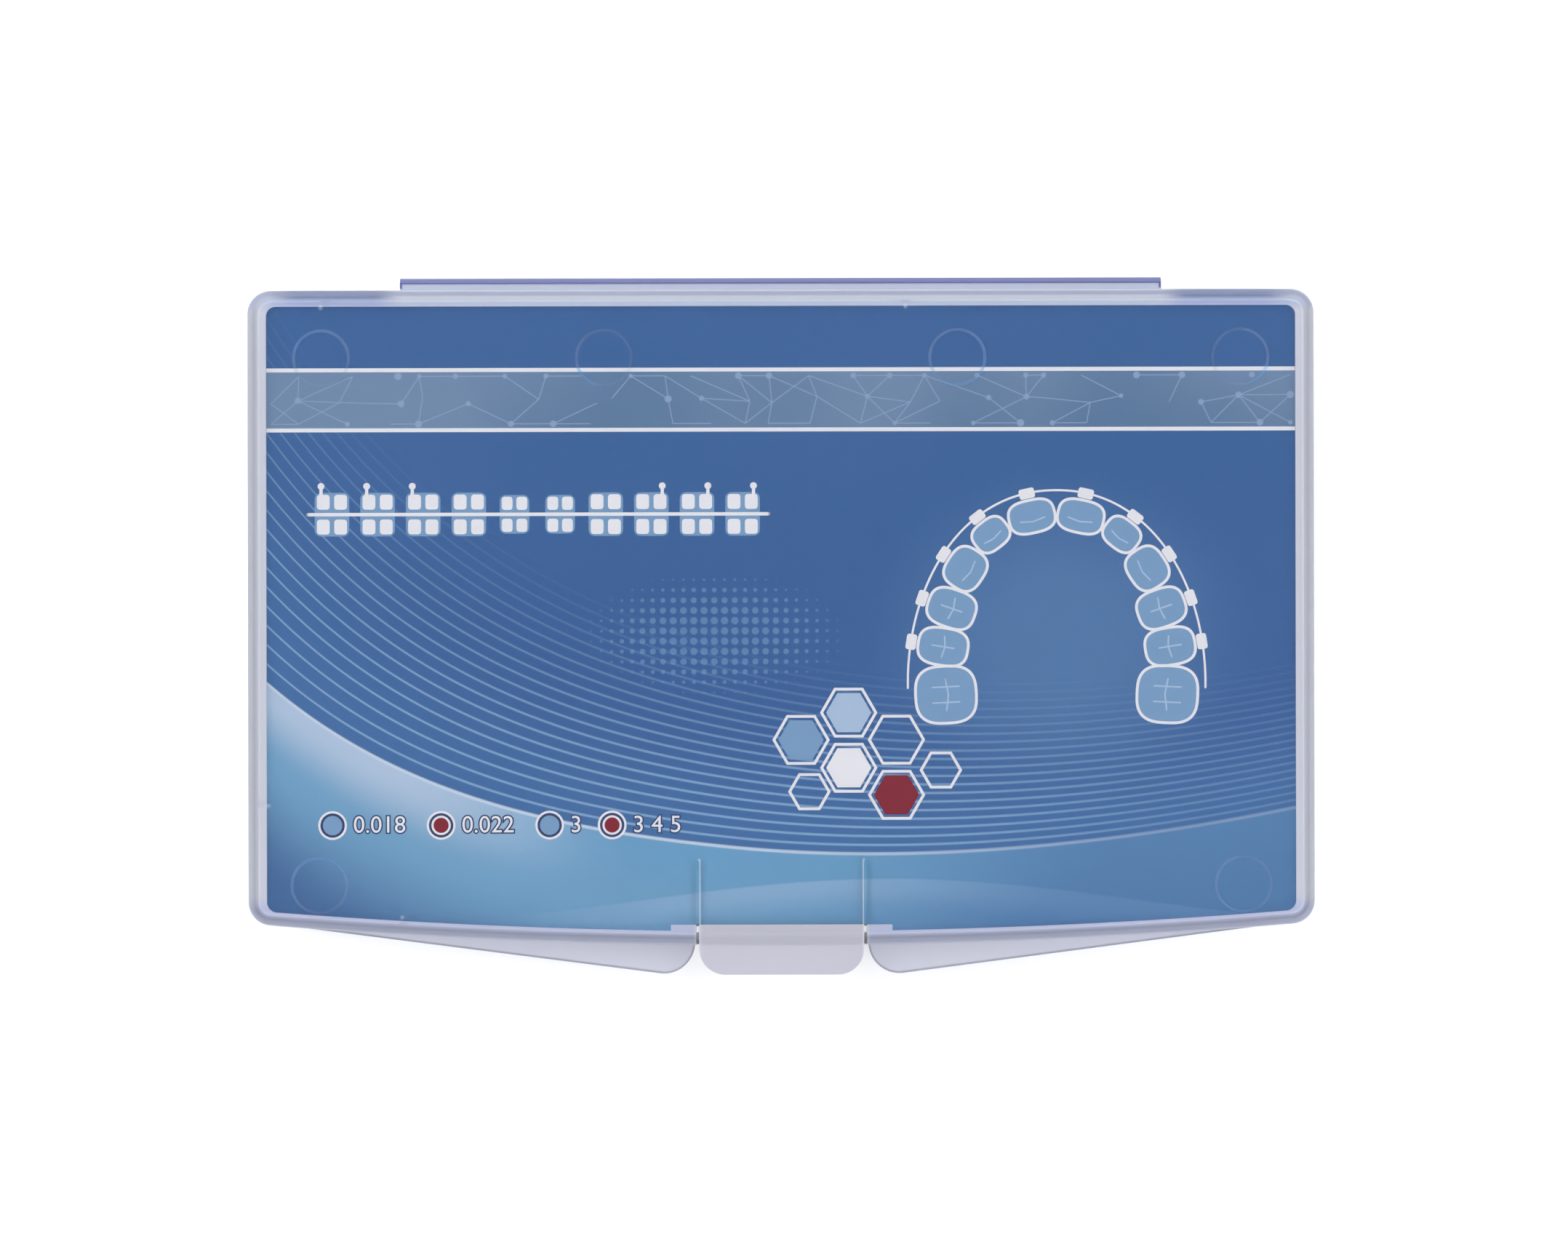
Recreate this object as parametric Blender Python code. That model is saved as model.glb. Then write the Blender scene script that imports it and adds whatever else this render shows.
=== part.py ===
"""Hinged clear plastic case that holds a set of ceramic orthodontic brackets.

Frame: X to the right, +Y to the rear (the hinge side), Z up.  The origin is at
the middle of the underside.  The lid turns about the line of the film hinge
behind the rear wall.  Everything below is worked out in millimetres and turned
into metres when an object is finished.
"""
import math

import bmesh
import bpy
from mathutils import Matrix, Vector

MM = 0.001

# ---------------------------------------------------------------- case, mm
HALF_WIDTH = 65.0        # half of the case's width
REAR_Y = 41.0            # outer face of the rear wall
FRONT_Y = -39.0          # outer face of the front wall, in the middle
FRONT_RADIUS = 778.0     # the front wall bows gently outwards
CORNER_RADIUS = 3.0      # vertical corners
HEIGHT = 13.0            # closed case
PART_Z = 6.6             # plane on which lid and base meet
PART_GAP = 0.15          # each half stays this far from that plane
WALL = 1.3
PLATE = 1.2              # lid plate and base floor
DRAFT_LID = 0.15
DRAFT_BASE = 0.20
LID_EDGE_R = 0.9         # rounding round the top
BASE_EDGE_R = 1.0        # rounding round the underside

# inner lip of the base, which the lid's wall goes over
LIP_OUT = 1.55           # inset of its outer face
LIP_IN = 2.35            # inset of its inner face
LIP_TOP = 8.25

# film hinge
HINGE_HALF = 46.5        # half of its length
FLANGE_Y = 42.5          # how far the two flanges reach behind the case
FLANGE_T = 0.85
HINGE_Y = 42.55          # joint axis
HINGE_Z = PART_Z

# thumb tongue of the lid, and the slits that free it
TONGUE_HALF = 10.03
TONGUE_Y = -42.4
TONGUE_R = 3.2
SLIT_W = 0.35
SLIT_REAR_Y = -28.5

# wings of the base, left and right of the tongue
WING_IN_X = 10.6
WING_TIP_R = 3.8
WING_TIP_Y = -42.5
WING_OUT_X = 58.8
WING_OUT_Y = -36.8
WING_T = 1.2

# catch: a hook on the tongue's wall, a bead on the base's lip
HOOK_HALF = 8.4
HOOK_Y = -36.78
BEAD_Y = -36.62

# moulding details of the lid
EJECTOR_R = 3.5
EJECTOR_DEPTH = 0.12
EJECTORS = ((-55.9, 32.6), (-21.5, 32.6), (21.5, 32.6), (55.9, 32.6),
            (-56.2, -31.5), (56.2, -31.5))
RIB_R = 0.55             # upright ribs that centre the printed card
RIB_H = 1.1

# ---------------------------------------------------------------- contents, mm
INSERT_TOP = 11.70
INSERT_T = 0.40
INSERT_HALF = 62.6
INSERT_REAR = 38.9
INSERT_FRONT = -37.2
INSERT_CORNER = 1.2
NOTCH_HALF = 13.5
NOTCH_Y = -36.35

CARD_HALF = 60.0
CARD_Y = (-33.0, 37.4)
CARD_Z = (1.32, 1.72)
CARD_CORNER = 2.5

STRIP_HALF = 50.0
STRIP_H = 9.0
STRIP_Z = (1.84, 2.14)
ROW_Y = {"upper": 12.0, "lower": -8.0}

BRACKET_Z = 2.26
PITCH = 9.6
BRACKET_H = 3.3          # along the tooth
# width over the wings, and whether there is a hook, for teeth 1 to 5
TEETH = {
    "upper": ((3.5, False), (3.1, False), (3.3, True), (3.1, True), (3.1, True)),
    "lower": ((2.7, False), (2.7, False), (3.2, True), (3.1, True), (3.1, True)),
}

FRONT_SEGMENTS = 18
CORNER_SEGMENTS = 6


# ================================================================ helpers
def clear_scene():
    for obj in list(bpy.data.objects):
        bpy.data.objects.remove(obj, do_unlink=True)
    for mesh in list(bpy.data.meshes):
        bpy.data.meshes.remove(mesh)


def material(name, color, roughness, metallic=0.0, alpha=1.0):
    mat = bpy.data.materials.new(name)
    mat.use_nodes = True
    shader = mat.node_tree.nodes["Principled BSDF"]
    shader.inputs["Base Color"].default_value = (*color, 1.0)
    shader.inputs["Roughness"].default_value = roughness
    shader.inputs["Metallic"].default_value = metallic
    shader.inputs["Alpha"].default_value = alpha
    mat.diffuse_color = (*color, alpha)
    return mat


def mesh_object(name, bm):
    """A scene object, still in millimetres, from a bmesh that is used up."""
    bmesh.ops.recalc_face_normals(bm, faces=bm.faces)
    mesh = bpy.data.meshes.new(name)
    bm.to_mesh(mesh)
    bm.free()
    obj = bpy.data.objects.new(name, mesh)
    bpy.context.scene.collection.objects.link(obj)
    return obj


def loft(name, rings):
    """Closed body through rings of equally many points, capped at both ends."""
    bm = bmesh.new()
    rows = [[bm.verts.new(p) for p in ring] for ring in rings]
    count = len(rows[0])
    for low, high in zip(rows, rows[1:]):
        for i in range(count):
            j = (i + 1) % count
            bm.faces.new((low[i], low[j], high[j], high[i]))
    bm.faces.new(rows[0])
    bm.faces.new(rows[-1])
    return mesh_object(name, bm)


def prism_z(name, points, z0, z1, chamfer_top=0.0):
    """Extrusion of a flat outline along Z."""
    rings = [[(x, y, z0) for x, y in points]]
    if chamfer_top:
        rings.append([(x, y, z1 - chamfer_top) for x, y in points])
        rings.append([(x, y, z1) for x, y in inset(points, chamfer_top)])
    else:
        rings.append([(x, y, z1) for x, y in points])
    return loft(name, rings)


def prism_x(name, profile, x0, x1):
    """Extrusion of a (y, z) profile along X."""
    return loft(name, [[(x0, y, z) for y, z in profile], [(x1, y, z) for y, z in profile]])


def inset(points, distance):
    """Outline moved inwards by a distance; points run anticlockwise."""
    result = []
    count = len(points)
    for i in range(count):
        before, here, after = (Vector(points[(i + k) % count]) for k in (-1, 0, 1))
        d0 = (here - before).normalized()
        d1 = (after - here).normalized()
        n0 = Vector((-d0.y, d0.x))
        n1 = Vector((-d1.y, d1.x))
        mid = (n0 + n1).normalized()
        move = mid * (distance / max(mid.dot(n0), 0.35))
        result.append((here.x + move.x, here.y + move.y))
    return result


def boolean(target, tool, operation):
    """Union, difference or intersection, applied; the tool is used up."""
    modifier = target.modifiers.new(operation, 'BOOLEAN')
    modifier.operation = operation
    modifier.solver = 'EXACT'
    modifier.object = tool
    depsgraph = bpy.context.evaluated_depsgraph_get()
    mesh = bpy.data.meshes.new_from_object(target.evaluated_get(depsgraph))
    target.modifiers.clear()
    old = target.data
    target.data = mesh
    bpy.data.meshes.remove(old)
    bpy.data.objects.remove(tool, do_unlink=True)


def finish(obj, mat, origin=(0.0, 0.0, 0.0), smooth_angle=35.0):
    """Weld, turn into metres about the given origin (mm), place and shade."""
    bm = bmesh.new()
    bm.from_mesh(obj.data)
    bmesh.ops.remove_doubles(bm, verts=bm.verts, dist=0.0004)
    bmesh.ops.dissolve_degenerate(bm, dist=0.0004, edges=bm.edges)
    bmesh.ops.triangulate(bm, faces=[f for f in bm.faces if len(f.verts) > 4])
    bmesh.ops.recalc_face_normals(bm, faces=bm.faces)
    bm.to_mesh(obj.data)
    bm.free()
    start = Vector(origin)
    obj.data.transform(Matrix.Scale(MM, 4) @ Matrix.Translation(-start))
    obj.location = start * MM
    obj.data.materials.clear()
    obj.data.materials.append(mat)
    obj.data.shade_smooth()
    obj.data.set_sharp_from_angle(angle=math.radians(smooth_angle))
    return obj


def arc(cx, cy, radius, start, end, segments):
    """Points of an arc, angles in degrees."""
    return [(cx + radius * math.cos(math.radians(start + (end - start) * i / segments)),
             cy + radius * math.sin(math.radians(start + (end - start) * i / segments)))
            for i in range(segments + 1)]


# ================================================================ case outline
def front_y(x, offset=0.0):
    """Y of the bowed front, moved inwards by an offset."""
    radius = FRONT_RADIUS - offset
    return FRONT_Y + FRONT_RADIUS - math.sqrt(radius * radius - x * x)


def outline(offset, half=HALF_WIDTH, rear=REAR_Y, front=FRONT_Y, corner=CORNER_RADIUS):
    """Case outline moved inwards by an offset, always with as many points."""
    r = max(corner - offset, 0.4)
    xc = half - offset - r
    top = rear - offset - r
    centre = front + FRONT_RADIUS
    big = FRONT_RADIUS - offset
    yc = centre - math.sqrt((big - r) ** 2 - xc ** 2)
    phi = math.asin(xc / (big - r))
    deg = math.degrees(phi)
    points = []
    for i in range(FRONT_SEGMENTS + 1):
        a = -phi + 2.0 * phi * i / FRONT_SEGMENTS
        points.append((big * math.sin(a), centre - big * math.cos(a)))
    points += arc(xc, yc, r, -90.0 + deg, 0.0, CORNER_SEGMENTS)[1:]
    points += arc(xc, top, r, 0.0, 90.0, CORNER_SEGMENTS)
    points += arc(-xc, top, r, 90.0, 180.0, CORNER_SEGMENTS)
    points += arc(-xc, yc, r, 180.0, 270.0 - deg, CORNER_SEGMENTS)[:-1]
    return points


def ring(offset, z):
    return [(x, y, z) for x, y in outline(offset)]


def rounding(offset, z, radius, start, end, steps, z_sign):
    """Rings of a rounded edge: inset grows while z goes to its limit."""
    rings = []
    for i in range(steps + 1):
        a = math.radians(start + (end - start) * i / steps)
        rings.append(ring(offset + radius * (1.0 - math.cos(a)), z + z_sign * radius * math.sin(a)))
    return rings


# ================================================================ lid
def build_lid(mat):
    low = PART_Z + PART_GAP
    under = HEIGHT - PLATE
    rings = [ring(WALL + 0.10 + 0.35, under)]
    rings.append(ring(WALL + 0.10 + 0.10, under - 0.10))
    rings.append(ring(WALL + 0.10, under - 0.35))
    rings.append(ring(WALL, low + 0.10))
    rings.append(ring(WALL - 0.10, low))
    rings.append(ring(0.0, low))
    rings += rounding(DRAFT_LID, HEIGHT - LID_EDGE_R, LID_EDGE_R, 0.0, 90.0, 4, 1.0)
    lid = loft("case_lid", rings)

    # rear flange, which carries the film
    flange = prism_x("flange", [(REAR_Y - 0.7, low), (FLANGE_Y, low),
                                (FLANGE_Y, low + FLANGE_T - 0.25),
                                (FLANGE_Y - 0.25, low + FLANGE_T),
                                (REAR_Y - 0.7, low + FLANGE_T)], -HINGE_HALF, HINGE_HALF)
    boolean(lid, flange, 'UNION')

    # thumb tongue, level with the lid's plate
    r = TONGUE_R
    points = [(TONGUE_HALF, FRONT_Y + 1.0), (-TONGUE_HALF, FRONT_Y + 1.0)]
    points += arc(-TONGUE_HALF + r, TONGUE_Y + r, r, 180.0, 270.0, 6)
    points += arc(TONGUE_HALF - r, TONGUE_Y + r, r, 270.0, 360.0, 6)
    tongue = prism_z("tongue", points, under, HEIGHT, 0.15)
    boolean(lid, tongue, 'UNION')

    # hook inside the tongue's wall, ramped above and below
    hook = prism_x("hook", [(FRONT_Y + 0.6, 7.15), (FRONT_Y + WALL + 0.02, 7.15), (HOOK_Y, 7.45),
                            (HOOK_Y, 7.75), (FRONT_Y + WALL + 0.02, 8.35), (FRONT_Y + 0.6, 8.35)],
                   -HOOK_HALF, HOOK_HALF)
    boolean(lid, hook, 'UNION')

    # slits that free the tongue, through plate and front wall
    for side in (-1.0, 1.0):
        middle = side * (TONGUE_HALF + SLIT_W / 2.0)
        cut = prism_x("slit", [(FRONT_Y - 2.0, low - 1.0), (SLIT_REAR_Y, low - 1.0),
                               (SLIT_REAR_Y, HEIGHT + 1.0), (FRONT_Y - 2.0, HEIGHT + 1.0)],
                      middle - SLIT_W / 2.0, middle + SLIT_W / 2.0)
        boolean(lid, cut, 'DIFFERENCE')

    # shallow ejector marks under the plate
    for x, y in EJECTORS:
        mark = prism_z("mark", arc(x, y, EJECTOR_R, 0.0, 360.0, 20)[:-1],
                       under - 1.0, under + EJECTOR_DEPTH)
        boolean(lid, mark, 'DIFFERENCE')

    # small upright ribs in the corner of plate and wall, just short of the card
    gap = 0.10
    ribs = ((-55.3, INSERT_REAR + gap + RIB_R), (15.2, INSERT_REAR + gap + RIB_R),
            (-INSERT_HALF - gap - RIB_R, -21.5),
            (-46.0, INSERT_FRONT + front_y(46.0) - FRONT_Y - gap - RIB_R))
    for x, y in ribs:
        rib = prism_z("rib", arc(x, y, RIB_R, 22.5, 337.5, 7), under - RIB_H, under + 0.3)
        boolean(lid, rib, 'UNION')

    return finish(lid, mat, (0.0, HINGE_Y, HINGE_Z))


# ================================================================ base
def wing_outline(side):
    """One wing, anticlockwise: rounded inner end, straight front, bowed back."""
    cx = WING_IN_X + WING_TIP_R
    cy = WING_TIP_Y + WING_TIP_R
    run = Vector((WING_OUT_X - cx, WING_OUT_Y - WING_TIP_Y))
    lean = math.degrees(math.atan2(run.y, run.x))
    points = arc(cx, cy, WING_TIP_R, 180.0, 270.0, 6)
    points.append(arc(cx, cy, WING_TIP_R, 270.0, 270.0 + lean, 1)[-1])
    points.append((WING_OUT_X, WING_OUT_Y))
    steps = 6
    for i in range(steps + 1):
        x = WING_OUT_X - 0.4 + (WING_IN_X - WING_OUT_X + 0.4) * i / steps
        points.append((x, front_y(x, 0.65)))
    if side < 0.0:
        points = [(-x, y) for x, y in reversed(points)]
    return points


def build_base(mat):
    high = PART_Z - PART_GAP
    rings = []
    for i in range(5):
        a = math.radians(90.0 - 22.5 * i)
        rings.append(ring(DRAFT_BASE + BASE_EDGE_R * (1.0 - math.cos(a)),
                          BASE_EDGE_R * (1.0 - math.sin(a))))
    rings.append(ring(0.0, high))
    rings.append(ring(LIP_OUT, high))
    rings.append(ring(LIP_OUT, LIP_TOP - 0.15))
    rings.append(ring(LIP_OUT + 0.10, LIP_TOP))
    rings.append(ring(LIP_IN, LIP_TOP))
    rings.append(ring(LIP_IN, 5.0))
    rings.append(ring(WALL + 0.02, 4.0))
    rings.append(ring(WALL + 0.08, PLATE + 0.40))
    rings.append(ring(WALL + 0.20, PLATE + 0.12))
    rings.append(ring(WALL + 0.48, PLATE))
    base = loft("case_base", rings)

    # the lip steps back behind the tongue's hook
    step = prism_x("step", [(FRONT_Y + LIP_OUT - 0.35, high), (BEAD_Y - 0.02, high),
                            (BEAD_Y - 0.02, LIP_TOP + 1.0), (FRONT_Y + LIP_OUT - 0.35, LIP_TOP + 1.0)],
                   -TONGUE_HALF - 0.6, TONGUE_HALF + 0.6)
    boolean(base, step, 'DIFFERENCE')
    bead = prism_x("bead", [(-36.40, 5.3), (-35.55, 4.45), (-35.55, LIP_TOP), (-36.45, LIP_TOP),
                            (BEAD_Y, LIP_TOP - 0.12), (BEAD_Y, LIP_TOP - 0.30), (-36.45, LIP_TOP - 0.60),
                            (-36.45, high + 0.02), (-36.70, high - 0.30), (-36.70, 5.3)],
                   -TONGUE_HALF - 0.3, TONGUE_HALF + 0.3)
    boolean(base, bead, 'UNION')

    for side in (-1.0, 1.0):
        wing = prism_z("wing", wing_outline(side), high - WING_T, high, 0.12)
        boolean(base, wing, 'UNION')

    flange = prism_x("flange", [(REAR_Y - 0.7, high - FLANGE_T), (FLANGE_Y - 0.25, high - FLANGE_T),
                                (FLANGE_Y, high - FLANGE_T + 0.25), (FLANGE_Y, high),
                                (REAR_Y - 0.7, high)], -HINGE_HALF, HINGE_HALF)
    boolean(base, flange, 'UNION')
    return finish(base, mat)


# ================================================================ cards and strips
def build_insert(mat):
    outer = outline(0.0, INSERT_HALF, INSERT_REAR, INSERT_FRONT, INSERT_CORNER)
    insert = prism_z("printed_insert", outer, INSERT_TOP - INSERT_T, INSERT_TOP)
    r = 0.7
    notch = [(NOTCH_HALF, INSERT_FRONT - 3.0), (NOTCH_HALF, NOTCH_Y - r)]
    notch += arc(NOTCH_HALF - r, NOTCH_Y - r, r, 0.0, 90.0, 3)[1:]
    notch += arc(-NOTCH_HALF + r, NOTCH_Y - r, r, 90.0, 180.0, 3)
    notch.append((-NOTCH_HALF, INSERT_FRONT - 3.0))
    cut = prism_z("notch", notch, INSERT_TOP - 2.0, INSERT_TOP + 1.0)
    boolean(insert, cut, 'DIFFERENCE')
    return finish(insert, mat, (0.0, HINGE_Y, HINGE_Z))


def rounded_box(name, x0, x1, y0, y1, z0, z1, r, segments=4):
    points = arc(x1 - r, y0 + r, r, -90.0, 0.0, segments)
    points += arc(x1 - r, y1 - r, r, 0.0, 90.0, segments)
    points += arc(x0 + r, y1 - r, r, 90.0, 180.0, segments)
    points += arc(x0 + r, y0 + r, r, 180.0, 270.0, segments)
    return prism_z(name, points, z0, z1)


# ================================================================ brackets
def bracket_mesh(name, width, hook):
    """One twin bracket, pad down, slot along X, gingival side towards +Y.

    The middle of the pad's underside is at the origin; hooks are on the +X side.
    """
    h = BRACKET_H / 2.0
    # pad, hollowed underneath to sit on a tooth's curve
    pad = prism_x(name, [(-h, 0.0), (-h / 2, 0.08), (0.0, 0.11), (h / 2, 0.08), (h, 0.0),
                         (h, 0.36), (h - 0.18, 0.50), (-h + 0.18, 0.50), (-h, 0.36)],
                  -width / 2 - 0.18, width / 2 + 0.18)
    # wings with their ties' undercuts, and the arch wire slot
    right = [(1.18, 0.40), (1.00, 0.72), (1.00, 1.12), (h - 0.05, 1.34), (h, 1.56),
             (h - 0.14, 1.98), (1.16, 2.18), (0.36, 2.18), (0.29, 2.10), (0.29, 1.42)]
    left = [(-y, z) for y, z in reversed(right)]
    body = prism_x("body", right + left, -width / 2, width / 2)
    boolean(pad, body, 'UNION')
    # channel between the twin wings
    channel = prism_x("channel", [(-h - 1.0, 1.02), (h + 1.0, 1.02), (h + 1.0, 3.0), (-h - 1.0, 3.0)],
                      -0.42, 0.42)
    boolean(pad, channel, 'DIFFERENCE')
    if hook:
        x = width / 2 - 0.42
        arm = loft("arm", [[(x + 0.19 * math.cos(a), y, z + 0.19 * math.sin(a))
                            for a in (math.radians(45.0 + 60.0 * k) for k in range(6))]
                           for y, z in ((1.20, 1.62), (1.95, 1.66))])
        boolean(pad, arm, 'UNION')
        bm = bmesh.new()
        bmesh.ops.create_uvsphere(bm, u_segments=8, v_segments=6, radius=0.34,
                                  matrix=Matrix.Translation((x, 2.08, 1.67)))
        boolean(pad, mesh_object("ball", bm), 'UNION')
    return pad


def build_brackets(mat):
    for row, teeth in TEETH.items():
        for tooth, (width, hook) in enumerate(teeth, start=1):
            pattern = bracket_mesh("pattern", width, hook)
            for side in ("right", "left"):
                # chart order: the patient's right side is on the viewer's left
                sign = -1.0 if side == "right" else 1.0
                flip = 1.0 if row == "upper" else -1.0
                mesh = pattern.data.copy()
                mesh.transform(Matrix.Diagonal((sign, flip, 1.0, 1.0)))
                if sign * flip < 0.0:
                    mesh.flip_normals()
                obj = bpy.data.objects.new("bracket_%s_%s_%d" % (row, side, tooth), mesh)
                bpy.context.scene.collection.objects.link(obj)
                finish(obj, mat)
                obj.location = Vector((sign * PITCH * (tooth - 0.5), ROW_Y[row], BRACKET_Z)) * MM
            bpy.data.objects.remove(pattern, do_unlink=True)


# ================================================================ build
def main():
    clear_scene()
    clear_plastic = material("clear_case", (0.80, 0.80, 0.87), 0.18, alpha=0.35)
    blue_card = material("printed_card", (0.05, 0.13, 0.34), 0.45)
    white_card = material("bracket_card", (0.86, 0.87, 0.88), 0.60)
    adhesive = material("adhesive_film", (0.80, 0.86, 0.90), 0.30)
    ceramic = material("ceramic", (0.86, 0.86, 0.82), 0.25)

    hinge = bpy.data.objects.new("lid_hinge", None)
    hinge.location = Vector((0.0, HINGE_Y, HINGE_Z)) * MM
    bpy.context.scene.collection.objects.link(hinge)

    build_base(clear_plastic)
    lid = build_lid(clear_plastic)
    insert = build_insert(blue_card)
    for piece in (lid, insert):
        piece.parent = hinge
        piece.location = (0.0, 0.0, 0.0)

    card = rounded_box("bracket_card", -CARD_HALF, CARD_HALF, *CARD_Y, *CARD_Z, CARD_CORNER)
    finish(card, white_card)
    for row, y in ROW_Y.items():
        strip = rounded_box("adhesive_strip_" + row, -STRIP_HALF, STRIP_HALF,
                            y - STRIP_H / 2, y + STRIP_H / 2, *STRIP_Z, 0.8, 2)
        finish(strip, adhesive)
    build_brackets(ceramic)


main()
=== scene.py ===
"""Looks of the hinged clear case of a set of orthodontic brackets.

X runs to the right, +Y to the hinge side, Z up.
"""
import math
import random

import bmesh
import bpy
from mathutils import Matrix, Vector


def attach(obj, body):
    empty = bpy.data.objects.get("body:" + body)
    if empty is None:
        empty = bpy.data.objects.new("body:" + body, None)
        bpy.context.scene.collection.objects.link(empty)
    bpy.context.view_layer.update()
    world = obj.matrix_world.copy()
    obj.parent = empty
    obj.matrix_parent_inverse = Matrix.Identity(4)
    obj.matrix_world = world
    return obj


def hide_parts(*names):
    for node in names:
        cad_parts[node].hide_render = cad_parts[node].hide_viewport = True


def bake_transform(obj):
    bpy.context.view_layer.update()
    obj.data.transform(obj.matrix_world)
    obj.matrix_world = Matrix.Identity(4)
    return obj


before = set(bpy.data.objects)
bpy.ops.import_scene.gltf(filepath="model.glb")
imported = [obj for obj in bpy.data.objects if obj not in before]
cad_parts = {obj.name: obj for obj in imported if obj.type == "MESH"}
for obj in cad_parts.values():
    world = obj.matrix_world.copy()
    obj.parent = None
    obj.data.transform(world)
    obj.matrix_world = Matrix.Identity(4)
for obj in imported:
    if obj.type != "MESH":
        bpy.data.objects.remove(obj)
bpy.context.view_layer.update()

MM = 0.001

# ---------------------------------------------------------------- case, mm
HALF_WIDTH = 65.0
REAR_Y = 41.0
FRONT_Y = -39.0
FRONT_RADIUS = 778.0
CORNER_RADIUS = 3.0
HEIGHT = 13.0
PART_Z = 6.6
SEAM = 0.04              # half of the hairline between the closed halves
WALL = 1.3
PLATE = 1.2
DRAFT_LID = 0.15
DRAFT_BASE = 0.20
LID_EDGE_R = 0.9
BASE_EDGE_R = 1.0
LIP_OUT = 1.55
LIP_IN = 2.35
LIP_TOP = 8.25
HINGE_HALF = 46.5
FLANGE_Y = 42.2          # the flanges end here, and the film goes on
FLANGE_T = 0.85
FILM_Y = 42.49
TONGUE_HALF = 10.03
TONGUE_Y = -42.4
TONGUE_R = 3.2
SLIT_W = 0.35
SLIT_REAR_Y = -28.5
WING_IN_X = 10.6
WING_TIP_R = 3.8
WING_TIP_Y = -42.5
WING_OUT_X = 58.8
WING_OUT_Y = -36.8
WING_T = 1.2
HOOK_HALF = 8.4
HOOK_Y = -36.78
BEAD_Y = -36.62
EJECTOR_R = 3.5
EJECTOR_DEPTH = 0.12
EJECTORS = ((-55.9, 32.6), (-21.5, 32.6), (21.5, 32.6), (55.9, 32.6),
            (-56.2, -31.5), (56.2, -31.5))
RIB_R = 0.55
RIB_H = 1.1

# ---------------------------------------------------------------- contents, mm
INSERT_TOP = 11.70
INSERT_T = 0.40
INSERT_HALF = 62.6
INSERT_REAR = 38.9
INSERT_FRONT = -37.2
INSERT_CORNER = 1.2
NOTCH_HALF = 13.5
NOTCH_Y = -36.35
CARD_HALF = 60.0
CARD_Y = (-33.0, 37.4)
CARD_Z = (1.32, 1.72)
CARD_CORNER = 2.5
STRIP_HALF = 50.0
STRIP_H = 9.0
STRIP_Z = (1.73, 2.24)
ROW_Y = {"upper": 12.0, "lower": -8.0}
BRACKET_Z = 2.25
PITCH = 9.6
BRACKET_H = 3.3
TEETH = {
    "upper": ((3.5, False), (3.1, False), (3.3, True), (3.1, True), (3.1, True)),
    "lower": ((2.7, False), (2.7, False), (3.2, True), (3.1, True), (3.1, True)),
}

# how much light the plastic lets through unscattered, and what the plate does to a print
CLEAR_PLATE, CLOUDY_WALL, CLOUDY_FLAP = 0.995, 0.72, 0.50
VEIL, PLATE_GAIN = (0.028, 0.028, 0.036), (0.76, 0.78, 0.86)

FRONT_SEGMENTS = 96
CORNER_SEGMENTS = 14


# ================================================================ mesh helpers
def mesh_object(name, bm):
    bmesh.ops.recalc_face_normals(bm, faces=bm.faces)
    mesh = bpy.data.meshes.new(name)
    bm.to_mesh(mesh)
    bm.free()
    obj = bpy.data.objects.new(name, mesh)
    bpy.context.scene.collection.objects.link(obj)
    return obj


def loft(name, rings):
    bm = bmesh.new()
    rows = [[bm.verts.new(p) for p in ring] for ring in rings]
    count = len(rows[0])
    for low, high in zip(rows, rows[1:]):
        for i in range(count):
            j = (i + 1) % count
            bm.faces.new((low[i], low[j], high[j], high[i]))
    bm.faces.new(rows[0])
    bm.faces.new(rows[-1])
    return mesh_object(name, bm)


def inset(points, distance):
    result = []
    count = len(points)
    for i in range(count):
        before, here, after = (Vector(points[(i + k) % count]) for k in (-1, 0, 1))
        d0 = (here - before).normalized()
        d1 = (after - here).normalized()
        n0 = Vector((-d0.y, d0.x))
        n1 = Vector((-d1.y, d1.x))
        mid = (n0 + n1).normalized()
        move = mid * (distance / max(mid.dot(n0), 0.35))
        result.append((here.x + move.x, here.y + move.y))
    return result


def prism_z(name, points, z0, z1):
    return loft(name, [[(x, y, z0) for x, y in points], [(x, y, z1) for x, y in points]])


def prism_x(name, profile, x0, x1):
    return loft(name, [[(x0, y, z) for y, z in profile], [(x1, y, z) for y, z in profile]])


def arc(cx, cy, radius, start, end, segments):
    return [(cx + radius * math.cos(math.radians(start + (end - start) * i / segments)),
             cy + radius * math.sin(math.radians(start + (end - start) * i / segments)))
            for i in range(segments + 1)]


def boolean(target, tool, operation):
    modifier = target.modifiers.new(operation, 'BOOLEAN')
    modifier.operation = operation
    modifier.solver = 'EXACT'
    modifier.object = tool
    depsgraph = bpy.context.evaluated_depsgraph_get()
    mesh = bpy.data.meshes.new_from_object(target.evaluated_get(depsgraph))
    target.modifiers.clear()
    old = target.data
    target.data = mesh
    bpy.data.meshes.remove(old)
    bpy.data.objects.remove(tool, do_unlink=True)


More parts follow.
